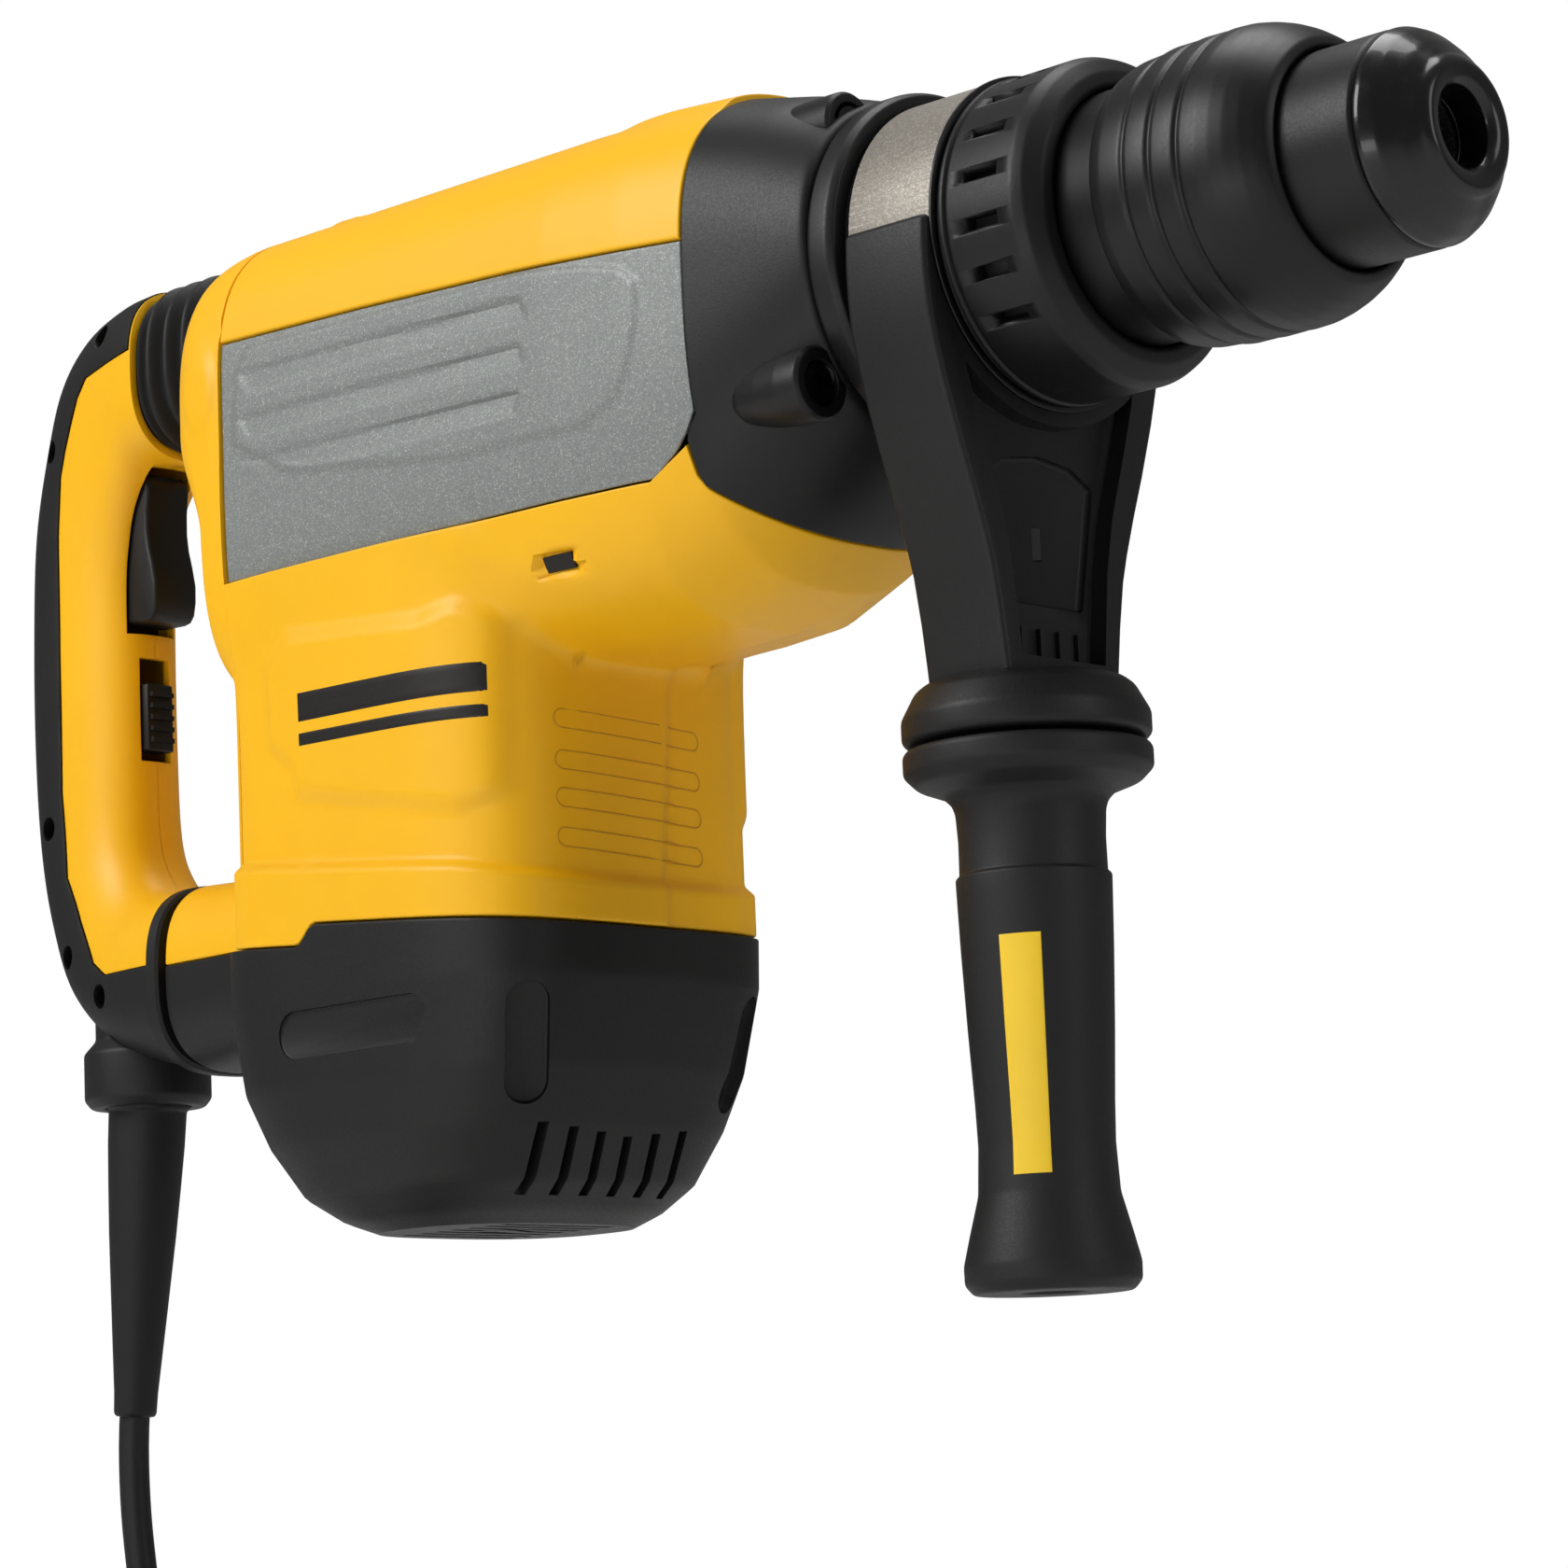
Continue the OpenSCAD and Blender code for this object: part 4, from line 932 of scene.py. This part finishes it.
def motor_housing():
    """The motor housing with the belly, from lines round the column, and the pill outlines on its front drawn
    as thin darker yellow tubes, the painted shade of their grooves.
    """
    psi = np.radians(np.linspace(70, -9, 1000))
    zero = np.zeros(1000)
    xs = lines(CASE_REAR + GAP, MOTOR_X, 1.7)[:-1]
    rows = [motor_profile((zero + x, zero, zero + MOTOR_TOP), (zero, -np.cos(psi), -np.sin(psi))) for x in xs]
    a = np.linspace(-math.pi / 2, math.pi / 2, 3000)
    ox, oy = MOTOR_A * bend(np.cos(a), MOTOR_P), MOTOR_W * bend(np.sin(a), MOTOR_P)
    run = run_along(ox, oy)
    at = np.linspace(0, run[-1], 150)
    for x, y in zip(np.interp(at, run, ox), np.interp(at, run, oy)):
        n = math.hypot(x, y)
        rows.append(motor_profile((zero + MOTOR_X, zero, zero + MOTOR_TOP),
                                  (np.cos(psi) * x / n, np.cos(psi) * y / n, -np.sin(psi))))
    rows += [r * [1, -1, 1] for r in rows[:len(xs)][::-1]]
    shell("motor_shell", np.array(rows), YELLOW, "housing", ["motor_housing"], motor_relief, 2.6, 0.6)
    # the pill grooves are not cut; thin tubes in a darker yellow stand in for them as painted groove shade
    for c in (-56, -67, -77, -87.5):
        turn = np.linspace(0, 2 * np.pi, 60)
        y = -5 + 24 * np.sign(np.cos(turn)) * (np.abs(np.cos(turn)) > 0.02) + 2.5 * np.cos(turn)
        ring = np.stack([y, c - 0.04 * (y + 5) + 2.5 * np.sin(turn)], -1)
        ring = np.concatenate([np.linspace(ring[k], ring[k + 1], 8)[:-1]
                               if abs(ring[k + 1, 0] - ring[k, 0]) > 5 else ring[k:k + 1]
                               for k in range(59)] + [ring[:2]])
        x = MOTOR_X + MOTOR_A * (1 - (np.abs(ring[:, 0]) / MOTOR_W) ** MOTOR_P) ** (1 / MOTOR_P)
        flat = np.stack([x, ring[:, 0], ring[:, 1]], -1)
        x = x + motor_relief(flat)
        tube("groove_shade_%d" % -c, np.stack([x, ring[:, 0], ring[:, 1]], -1), 0.3, GROOVE_SHADE_YELLOW, "housing",
             count=8)


def side_mark(name, side, low, high, skew):
    """A bar printed on the raised plate of the motor housing."""
    psi = np.radians(np.linspace(70, 5, 500))
    zero = 0 * psi
    rows = []
    for x in np.linspace(153, 219, 50):
        line = motor_line((zero + x, zero, zero + MOTOR_TOP), (zero, np.cos(psi), -np.sin(psi)))
        z = np.linspace(low, high, 10) - skew * (x - 153) / 66
        rows.append(section(x, side * np.interp(z, line[:, 2], line[:, 1]), z))
    shell(name, np.array(rows), BLACK_INK, "housing", None, lambda q: motor_relief(q) + 0.12, 0.3, 0.1,
          out=-side)


# -- gear case --

GEAR_FRONT, GEAR_MOUTH = 338, 33     # front wall of the gear case, and the radius of its opening
BOSSES = [(side * y, z, r, back, front)        # place, radius, and the ends along the spindle's axis
          for y, z, r, back, front in ((24, 81, 9, 303, 336), (40, 12, 9.5, 309, 337))
          for side in (1, -1)]


def gear_case():
    """The gear case, from lines that run forward from its seam and in over its front, with its bosses."""
    rows = []
    xs = np.concatenate([np.linspace(292, 336, 220), np.linspace(336, GEAR_FRONT, 20)[1:]])
    for phi in np.linspace(0, 2 * np.pi, 220, endpoint=False):
        c, s = math.cos(phi), math.sin(phi)
        zero = 0 * xs
        r = cast(in_case, (xs, zero, zero + AXIS_Z), (zero, zero - c, zero + s))
        line = np.stack([xs, -r * c, AXIS_Z + r * s], -1)
        front = np.linspace(r[-1], GEAR_MOUTH, 40)[1:]
        line = np.vstack([line, section(GEAR_FRONT, -front * c, AXIS_Z + front * s),
                          [[330, -GEAR_MOUTH * c, AXIS_Z + GEAR_MOUTH * s]]])
        first = crossing(line[:, 0] - gear_seam(line[:, 2]) - GAP)
        run = trace(line, first, len(line) - 1, 70)
        for _ in range(6):
            run[1:-1] = (run[:-2] + 2 * run[1:-1] + run[2:]) / 4
        rows.append(run)
    o = shell("gear_shell", np.array(rows).transpose(1, 0, 2), FRONT_BLACK, None, None, None, 2.8, 0.5,
              wrap=True)
    parts = [o]
    for y, z, r, back, front in BOSSES:
        boss = [(0, back - 3), (3.5, back - 1.5), (6.5, back + 4), (8.4, back + 12), (r, back + 20),
                (r, front - 1), (r - 0.8, front), (6, front), (6, front - 5.5), (0, front - 5.5)]
        parts.append(lathe("boss", boss, FRONT_BLACK, None, at=(0, y, z), count=48, soften=0.3))
    return mount_piece(join(parts), "housing", ["gear_case"])


def join(parts):
    """One object from several closed meshes."""
    points, faces, base = [], [], 0
    for o in parts:
        points += [v.co[:] for v in o.data.vertices]
        faces += [tuple(base + i for i in f.vertices) for f in o.data.polygons]
        base = len(points)
    name, material = parts[0].name, parts[0].data.materials[0]
    for o in parts:
        bpy.data.objects.remove(o, do_unlink=True)
    mesh = bpy.data.meshes.new(name)
    mesh.from_pydata(points, [], faces)
    shade(mesh)
    mesh.materials.append(material)
    return add_object(name, mesh)


# -- motor cap --

def capsule(u0, v0, u1, v1, r, count=20):
    """Outline of a slot with round ends between two points."""
    a = math.atan2(v1 - v0, u1 - u0)
    turn = np.linspace(-math.pi / 2, math.pi / 2, count)
    return ([(u1 + r * math.cos(a + t), v1 + r * math.sin(a + t)) for t in turn]
            + [(u0 - r * math.cos(a + t), v0 - r * math.sin(a + t)) for t in turn])


def motor_cap():
    """The black cap under the motor, with its side recesses, corner pockets and air slots."""
    a = np.linspace(0, 2 * np.pi, 3601)
    run = run_along(64 * bend(np.cos(a), MOTOR_P), 56 * bend(np.sin(a), MOTOR_P))
    a = np.interp(np.linspace(0, run[-1], 221)[:-1], run, a)

    def ring(z, scale=1.0):
        rear, front, w, p = (np.interp(z, CAP[:, 0], CAP[:, i]) for i in range(1, 5))
        c, s = np.cos(a), np.sin(a)
        x = (rear + front) / 2 + scale * (front - rear) / 2 * np.sign(c) * np.abs(c) ** (2 / p)
        y = scale * w * np.sign(s) * np.abs(s) ** (2 / p)
        return np.stack([x, y, z + 0 * x], -1)

    joint = cap_joint(ring(-108)[:, 0]) - GAP
    down = spread(1, 62, (0.0015, 0.004, 0.008, 0.012))
    rows = [ring(joint + (CAP_LOW - joint) * t) for t in down]
    rows += [ring(CAP_LOW, f) for f in (0.985, 0.96, 0.9, 0.75, 0.5, 0.25, 0.02)]
    o = shell("cap_shell", np.array(rows), BLACK, None, None, None, 8, 0.5, wrap=True)
    tools = []
    for side in (-1, 1):
        recess = prism("pill_recess", capsule(148, -131.7, 194, -131.7, 6.4), side * 54.7, side * 66, BLACK)
        tools.append(soften_edges(recess, 0.5))
        pocket = prism("corner_pocket", capsule(0, -10.4, 0, 10.4, 6), -6, 18, BLACK, axis="x")
        soften_edges(pocket, 0.8)
        turn, lean = side * math.radians(33), math.radians(17)
        pocket.data.transform(Matrix.Translation((223.5 * MM, side * 40.5 * MM, -141 * MM))
                              @ Matrix.Rotation(turn, 4, "Z") @ Matrix.Rotation(lean, 4, "Y"))
        tools.append(pocket)
    for y in range(-30, 21, 10):
        top, low = -163 + abs(y) * 0.1, -178
        vent = [(y - 1.6, top), (y + 1.6, top), (y + 4.6, low), (y + 1.4, low)]
        tools.append(prism("vent", vent, 203, 232, DARK, axis="x"))
    for x in np.arange(150, 190, 6.5):
        tools.append(box_mesh("grille", (x - 1.4, -20, -187), (x + 1.4, 20, -180)))
    return cut(o, tools)


# -- the lower arm, in two halves --

def arm():
    """The arm's yellow upper half and black lower half."""
    def solid(name):
        cx, cy = rounded_ring(96, 2.8)
        pts = [section(x, np.interp(x, [58.6, 102], [27, 28.8]) * cx,
                       ARM_Z + np.interp(x, [58.4, 102.5], [27.3, 25.6]) * cy)
               for x in np.linspace(58.6, 106, 20)]
        return piece(name, pts, tube_faces(20, 96), YELLOW, None)

    upper, lower = solid("arm_upper"), solid("arm_lower")
    cut(upper, box_mesh("below", (50, -40, -140), (120, 40, -101)))
    cut(lower, box_mesh("above", (50, -40, -101.4), (120, 40, -70)))
    paint(lower, BLACK)
    return soften_edges(upper, 0.6, 2, 50), soften_edges(lower, 0.6, 2, 50)


def screw_window(name, side):
    """The dark bottom of a screw's window in the belly."""
    rows = []
    for x in np.linspace(241, 251, 14):
        w, top, low, up, down = case_at(x)
        z = np.linspace(-21, -17, 8)
        rows.append(section(x, side * power_y(z, w, low, top, up, down), z))
    shell(name, np.array(rows), BLACK, "housing", None, lambda p: 0 * p[..., 0] - 0.9, 2.4, 0.2, out=-side)


for side, tag in SIDES:
    panel(side, tag)
for side, tag in SIDES:
    screw_window("window_" + tag, side)
top_cover()
rear = rear_cover()
motor_housing()
gear_case()
cap = motor_cap()
arm_upper, arm_lower = arm()
rear = join([rear, arm_upper])
cap = join([cap, arm_lower])
mount_piece(rear, "housing", ["rear_cover"])
mount_piece(cap, "housing", ["motor_cap"])
for side, tag in SIDES:
    side_mark("mark_top_" + tag, side, -47.4, -39.6, 0.9)
    side_mark("mark_low_" + tag, side, -54.0, -50.6, 1.1)


# ---- collar, nose and sleeve ----

lathe("collar_ring", [(33, 338.2), (44.5, 338.2), (46, 340), (46, 345.5), (44.8, 347.5), (40.7, 347.5),
                      (40.7, 343), (33, 343)],
      FRONT_BLACK, "housing", ["collar_flange"], count=200, soften=0.6)
lathe("vent_ring_edge", [(33, 378.6), (40.4, 378.6), (41.6, 379.6), (41.6, 380.6), (40.8, 381.2),
                         (33, 381.2)],
      FRONT_BLACK, "housing", None, count=200, soften=0.2)


def vent_ring():
    """The ring behind the sleeve, with a row of slots on each side."""
    profile = [(28.2, 381.2), (41, 381.2), (41.3, 382), (41.4, 402.5), (40.2, 405.5), (36.5, 408.5),
               (33.5, 409.3), (32.3, 408.6), (32.3, 383.5), (28.2, 383.5)]
    o = lathe("vent_ring", profile, FRONT_BLACK, None, count=224, soften=0.7)
    tools = []
    for side in (-1, 1):
        for a in range(-40, 63, 17):
            t = box_mesh("slot", (387, -1.75, 36.5), (398, 1.75, 46))
            turn = math.radians(90 - a) * side * -1
            t.data.transform(Matrix.Translation((0, 0, AXIS_Z * MM)) @ Matrix.Rotation(-turn, 4, "X"))
            tools.append(t)
    cut(o, tools)
    return mount_piece(o, "housing", ["vented_ring"])


vent_ring()
lathe("barrel_tube", [(33, 345.2), (40.45, 345.2), (40.45, 380), (33, 380)],
      DARK, "housing", ["front_barrel"], count=128)
lathe("sleeve_grip", [(26.6, 471.4), (27.6, 472.4), (29.8, 471.2), (31.5, 469), (33.4, 466), (35, 462.5),
                      (36.1, 459), (36.8, 455.5), (37, 451), (35.9, 449.8), (36.9, 448.6), (37, 442.5),
                      (35.9, 441.3), (36.8, 440.1), (36.8, 434.2), (35.6, 433), (36.2, 431.8), (35.8, 425.5),
                      (34.6, 421.5), (31.8, 420.8), (31.8, 398), (29.8, 398), (29.8, 429), (16.55, 429),
                      (16.55, 430.3), (20.2, 454.6), (20.2, 457), (26.6, 457)],
      SLEEVE_RUBBER, "sleeve", ["lock_sleeve"], count=224, soften=0.7, sharp=50)
lathe("nose_barrel", [(15.05, 458), (22, 458), (26.2, 459), (26.2, 492.2), (25.2, 493.2), (15.05, 493.2)],
      FRONT_BLACK,
      "spindle_set", ["holder_ring"], count=224, soften=0.5)
lathe("nose_rubber", [(9.6, 505.2), (9.9, 506), (11.5, 507.4), (14.8, 508), (16.6, 506.6), (17.4, 505.4),
                      (21, 502.5), (24.6, 498.5), (26.2, 495), (26, 493.4), (15.3, 493.4), (15.3, 497),
                      (9.6, 497)], GLOSS_RUBBER,
      "spindle_set", ["nose_cap"], count=224, soften=0.9, sharp=50)


def helix(name, radius, wire, first, last, turns, material, at=(0, 0, AXIS_Z)):
    """A round-wire compression spring along X."""
    a = np.linspace(0, 2 * np.pi * turns, int(turns * 28) + 1)
    s = np.clip((np.linspace(0, 1, len(a)) * turns - 0.5) / (turns - 1), 0, 1)
    x = first + wire + (last - first - 2 * wire) * s
    path = np.stack([x + at[0], radius * np.cos(a) + at[1], radius * np.sin(a) + at[2]], -1)
    return tube(name, path, wire, material, None, count=10)


sleeve_coil = helix("sleeve_coil", 18.4, 1.15, 406.1, 428.9, 6, STEEL)
mount_piece(sleeve_coil, None, ["sleeve_spring"])
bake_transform(sleeve_coil)

# ---- side handle ----

lathe("strap_band", [(40.65, 350), (41.95, 350), (41.95, 377), (40.65, 377)],
      STRAP, "side_handle", None, count=224, soften=0.3)
lathe("strap_lip", [(40.65, 377), (42.3, 377), (42.6, 377.3), (42.6, 377.9), (40.65, 378.2)],
      DARK_STEEL, "side_handle", None, count=224, soften=0.15)


YOKE_EDGE = [(-44.2, 46), (-44.6, 38), (-44.4, 30), (-43.6, 22), (-42, 14), (-39.2, 4), (-34.5, -10),
             (-30.4, -21), (-27, -31), (-25, -38), (-22.9, -50), (-21.6, -60), (-20.9, -66)]
WEB_EDGE = [(15.5, -60), (16.5, -50), (18, -36), (21, -22), (27, -4), (31, 9), (31.5, 13)]
WEB_PANEL = [(-20, -14), (-14, -46), (14, -46), (20, -14), (12, -9.5), (0, -8), (-12, -9.5)]


def mirrored(edge):
    """The edge's points with y negated, in reverse."""
    return [(-y, z) for y, z in edge[::-1]]


def yoke():
    """The side handle's yoke: a web hollowed from both faces, ribs below, and the flange over the grip."""
    arc = [(40.75 * math.cos(a), AXIS_Z + 40.75 * math.sin(a))
           for a in np.radians(np.linspace(1.4, -181.4, 70))]
    o = prism("yoke_body", arc + YOKE_EDGE + mirrored(YOKE_EDGE), SIDE_X - 13.5, SIDE_X + 13.5, BLACK,
              axis="x")
    soften_edges(o, 3.6, 5, 55, 50)
    web = mirrored(WEB_EDGE) + WEB_EDGE
    web += [(46.2 * math.sin(a), AXIS_Z - 46.2 * math.cos(a)) for a in np.radians(np.linspace(42, -42, 24))]
    pockets = (("web_pocket", web, 8.2, 1.6, 50), ("web_panel", WEB_PANEL, 6.4, 1.2, 30))
    for side in (-1, 1):
        for name, field, depth, edge, angle in pockets:
            low, high = sorted((SIDE_X + side * depth, SIDE_X + side * 20))
            t = prism(name, field, low, high, BLACK, axis="x")
            soften_edges(t, edge, 3, angle)
            cut(o, t)
    ribs = [box_mesh("rib", (SIDE_X - 9.5, y, -66), (SIDE_X + 9.5, y + 1.6, -52), BLACK)
            for y in (-11, -4, 3, 10)]
    flange = lathe("yoke_flange", [(0, -64), (25, -64), (27.5, -66), (31, -72.5), (31, -77.6), (29.5, -79),
                                   (0, -79)],
                   BLACK, None, at=(SIDE_X, 0, 0), axis="z", count=160, soften=1.0)
    paint(o, BLACK)
    o = join([o] + ribs + [flange])
    o.data.set_sharp_from_angle(angle=math.radians(42))
    return mount_piece(o, "side_handle", ["side_yoke"])


yoke()
lathe("hand_grip", [(7, -80.3), (26.2, -80.3), (30.2, -80.3), (31, -81.5), (31, -86), (28, -89),
                    (21.5, -91.5), (19.4, -93.6), (18.6, -96), (18.2, -103), (18.3, -111.5), (19.3, -112.2),
                    (19.15, -118), (18.8, -130), (18, -150), (17.1, -168), (16.8, -178), (17.4, -190),
                    (20, -200), (21.7, -207), (21.6, -211.5), (19.5, -214), (8, -214), (7, -211), (7, -205)],
      GRIP_RUBBER, "grip", ["side_grip"], at=(SIDE_X, 0, 0), axis="z", count=160, soften=0.9, sharp=50)


def grip_mark():
    """A yellow field printed on the side grip."""
    rows = []
    for z in np.linspace(-186, -128, 60):
        r = np.interp(-z, [112, 130, 150, 168, 178, 190], [19.25, 18.8, 18, 17.1, 16.8, 17.4])
        a = np.radians(np.linspace(-78, -46, 24))
        rows.append(np.stack([SIDE_X + r * np.cos(a), r * np.sin(a), np.full(24, z)], -1))
    shell("grip_mark", np.array(rows), YELLOW_INK, "grip", None, lambda q: 0 * q[..., 0] + 0.14, 0.12, 0.1,
          out=-1)


grip_mark()

# ---- rear handle ----

# sections of the handle from its top end down: outer point and inner point in (x, z), half width
HANDLE = [((44, 103), (44, 51), 24), ((30, 102), (36, 50), 22.5), ((11, 97), (31, 45), 20),
          ((-4, 86), (27, 37), 18), ((-13, 68), (25, 28), 17), ((-21, 40), (24, 18), 16.5),
          ((-24, 5), (24, 0), 16), ((-24, -30), (24, -32), 16), ((-21, -60), (24.5, -56), 16.5),
          ((-14, -84), (27.5, -67), 18), ((-2, -105), (34, -74.5), 21), ((20, -121), (43, -77.5), 25),
          ((51.8, -130), (51.8, -78), 27.5)]
RUBBER_ZONE = [(-40, 120), (43, 120), (43, 83), (17.5, 80), (12, 75), (8, 68.5), (4, 61), (1, 53), (-1, 35),
               (-2, 0), (-2, -42), (1, -68), (10, -83), (19.5, -96), (27, -100.3), (60, -100.3), (60, -150),
               (-40, -150)]
SCREWS = ((25, 91), (-5, 62), (-9, -52), (3, -92), (24, -106))


def spline(values, where):
    """Catmull-Rom through rows of values at fractional indices."""
    v = np.array(values, float)
    v = np.vstack([2 * v[0] - v[1], v, 2 * v[-1] - v[-2]])
    out = []
    for t in where:
        i = min(int(t), len(values) - 2)
        f = t - i
        a, b, c, d = v[i], v[i + 1], v[i + 2], v[i + 3]
        out.append(0.5 * (2 * b + (c - a) * f + (2 * a - 5 * b + 4 * c - d) * f * f
                          + (3 * b - a - 3 * c + d) * f ** 3))
    return np.array(out)


def handle_form(name, inset, material, power=2.7, count=88, per=7):
    """The handle's solid, inset all round, with per sections for each one of HANDLE."""
    flat = [(*o, *i, w) for o, i, w in HANDLE]
    s = spline(flat, np.linspace(0, len(flat) - 1, (len(flat) - 1) * per + 1))
    cx, cy = rounded_ring(count, power)
    rows = []
    for ox, oz, ix, iz, w in s:
        mx, mz = (ox + ix) / 2, (oz + iz) / 2
        half = math.hypot(ox - ix, oz - iz) / 2
        ux, uz = (ox - mx) / half, (oz - mz) / half
        r = half - inset
        rows.append(np.stack([mx + ux * r * cx, (w - inset) * cy, mz + uz * r * cx], -1))
    return piece(name, np.array(rows), tube_faces(len(rows), count), material, None)


def arm_lip():
    """The rubber band round the joint with the lower arm."""
    band = [(50.6, 27.6, 26.2), (51.6, 28.4, 27.4), (55.4, 28.4, 27.4), (56.2, 27.6, 26.4)]
    band += [(x, w - 4, h - 4) for x, w, h in band[::-1]]
    cx, cy = rounded_ring(96, 2.8)
    pts = [section(x, w * cx, ARM_Z + h * cy) for x, w, h in band]
    faces = [tuple(v % (8 * 96) for v in f) for f in grid_faces(9, 96, True)]
    return piece("arm_lip", pts, faces, RUBBER, None)


def turned_cutter(name, radius, low, high):
    """A round cutter on the cord socket's axis."""
    return lathe(name, [(0, low), (radius, low), (radius, high), (0, high)], DARK, None,
                 at=(SOCKET_X, 0, 0), axis="z", count=64, soften=0)


def handle():
    """The rear handle: black rubber behind, and two yellow halves in front, each hollow."""
    hollow = handle_form("handle_hollow", 2.8, DARK)
    zone = prism("zone", RUBBER_ZONE, -60, 60, RUBBER)
    grown = [(x + (0.35 if 0 < i < 17 and x < 50 else 0), z + (-0.35 if z > 60 else 0.35 if z < -80 else 0))
             for i, (x, z) in enumerate(RUBBER_ZONE)]
    wide = prism("zone_wide", grown, -60, 60, RUBBER)
    rubber = handle_form("handle_rubber", 0, RUBBER)
    cut(rubber, zone, "INTERSECT")
    cut(rubber, hollow, keep=True)
    yellow = handle_form("handle_yellow", 0.45, YELLOW)
    cut(yellow, wide)
    cut(yellow, hollow)
    for t in (box_mesh("a", (8, -8.8, 3), (40, 8.8, 51.5)), box_mesh("b", (8, -5.5, -35), (40, 5.5, -4))):
        cut(yellow, t)
    for t in (turned_cutter("socket_hole", 15.1, -150, -100),
              turned_cutter("socket_seat", 18.7, -150, -116.9)):
        cut(rubber, t, keep=True)
        cut(yellow, t)
    for x, z in SCREWS:
        hole = [(x + 3.6 * math.cos(a), z + 3.6 * math.sin(a)) for a in np.linspace(0, 2 * np.pi, 28)[:-1]]
        for side in (-1, 1):
            cut(rubber, prism("screw_hole", hole, side * 11, side * 40, DARK))
    soften_edges(rubber, 0.5, 2, 50, 42)
    for side, tag in SIDES:
        h = yellow.copy()
        h.data = yellow.data.copy()
        h.name = "handle_half_" + tag
        bpy.context.scene.collection.objects.link(h)
        cut(h, box_mesh("half", (-80, 0.11 if side < 0 else -60, -170), (90, 60 if side < 0 else -0.11, 150)))
        soften_edges(h, 0.35, 2, 50, 42)
        mount_piece(h, "handle", ["handle_shell_" + tag])
    bpy.data.objects.remove(yellow, do_unlink=True)
    mount_piece(join([rubber, arm_lip()]), "handle", ["handle_overmould"])


handle()


def trigger():
    profile = [(18, 6), (29, 5.6), (31.5, 6), (33.3, 8), (34.2, 12), (34.3, 17), (33, 23), (31.6, 28),
               (30.9, 33), (31, 39), (31.8, 45), (31.4, 48.6), (29.5, 50), (18, 50)]
    o = prism("trigger_pad", profile, -8, 8, FRONT_BLACK)
    soften_edges(o, 1.5, 4, 40, 45)
    return mount_piece(o, "trigger_lever", ["trigger"])


def lock_button():
    o = box_mesh("slide_pad", (20, -4.8, -32), (25.6, 4.8, -12), FRONT_BLACK)
    soften_edges(o, 0.6, 3, 40, 45)
    ridges = [box_mesh("ridge", (25, -4, z), (27, 4, z + 1.4), FRONT_BLACK)
              for z in (-29.6, -26.2, -22.8, -19.4, -16)]
    o = join([o] + ridges)
    return mount_piece(o, "lock_button", ["lock_slide"])


trigger()
lock_button()


BELLOWS = (44.6, 92.6)        # its ends; there are six folds of 8 mm


def bellows():
    """The folded skin round the damper, and the spring inside it."""
    first, last = BELLOWS
    xs = np.linspace(first, last, 97)
    cx, cy = rounded_ring(120, 2.6)
    fold = smooth(np.abs(((xs - first) / 8) % 1 - 0.5) * 2)
    ends = smooth((np.minimum(xs - first, last - xs)) / 2)
    rows = [section(x, (20.4 + 3.9 * f * e) * cx, DAMPER_Z + (21.8 + 4.0 * f * e) * cy)
            for x, f, e in zip(xs, fold, ends)]
    o = shell("bellows_skin", np.array(rows), RUBBER, None, ["damper_bellows"], None, 1.3, 0.0, wrap=True,
              out=-1)
    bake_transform(o)
    coil = helix("damper_coil", 10.8, 1.2, 50, 94.5, 9, STEEL, (0, 0, DAMPER_Z))
    mount_piece(coil, None, ["damper_spring"])
    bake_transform(coil)


bellows()

# ---- cord socket and boot ----

lathe("socket_body", [(8.2, -110.5), (8.2, -133.4), (12.6, -133.4), (12.6, -137), (16.5, -137),
                      (18.5, -134.5), (18.5, -121), (15, -117), (15, -110.5)],
      BLACK, "handle", ["cord_socket"], at=(SOCKET_X, 0, 0), axis="z", count=128, soften=0.9)
boot = lathe("cord_boot", [(4.55, 0), (12.2, 0), (12.2, -3.2), (11.4, -4), (11.2, -14), (10.6, -26),
                           (9.8, -40), (8.2, -62), (6.4, -86), (6.2, -92), (5.6, -93), (4.55, -93)],
             RUBBER, None, at=(0, 0, 0), axis="z", count=96, soften=0.5)
boot_lean = Matrix.Rotation(math.atan(9 / 90), 4, "Y")
boot.data.transform(Matrix.Translation((SOCKET_X * MM, 0, -133.7 * MM)) @ boot_lean)
mount_piece(boot, "handle", ["strain_relief"])

# ---- the parts that keep the CAD meshes ----

INNER = {"pivot_arm": ALLOY, "pivot_pin": STEEL, "switch_module": DARK, "handle_screws": DARK_STEEL,
         "damper_guide": STEEL, "plug_pins": BRASS, "side_strap": STRAP, "clamp_nut": DARK,
         "clamp_rod": STEEL,
         "grip_core": DARK, "spindle": STEEL, "roller_upper": STEEL, "roller_lower": STEEL,
         "hammer_tube": ALLOY, "crown_gear": STEEL, "impact_bolt": DARK_STEEL, "striker": DARK_STEEL,
         "piston": ALLOY, "piston_pin": STEEL, "con_rod": ALLOY, "crank_gear": STEEL, "layshaft": STEEL,
         "motor_rotor": STEEL, "motor_fan": DARK, "stator": COPPER, "bearings": STEEL, "brush_gear": BRASS,
         "case_screws": DARK_STEEL, "mode_knob": BLACK, "speed_dial": DARK, "electronics": BOARD}
for name, material in INNER.items():
    paint(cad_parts[name], material)
    shade(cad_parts[name].data, 30)
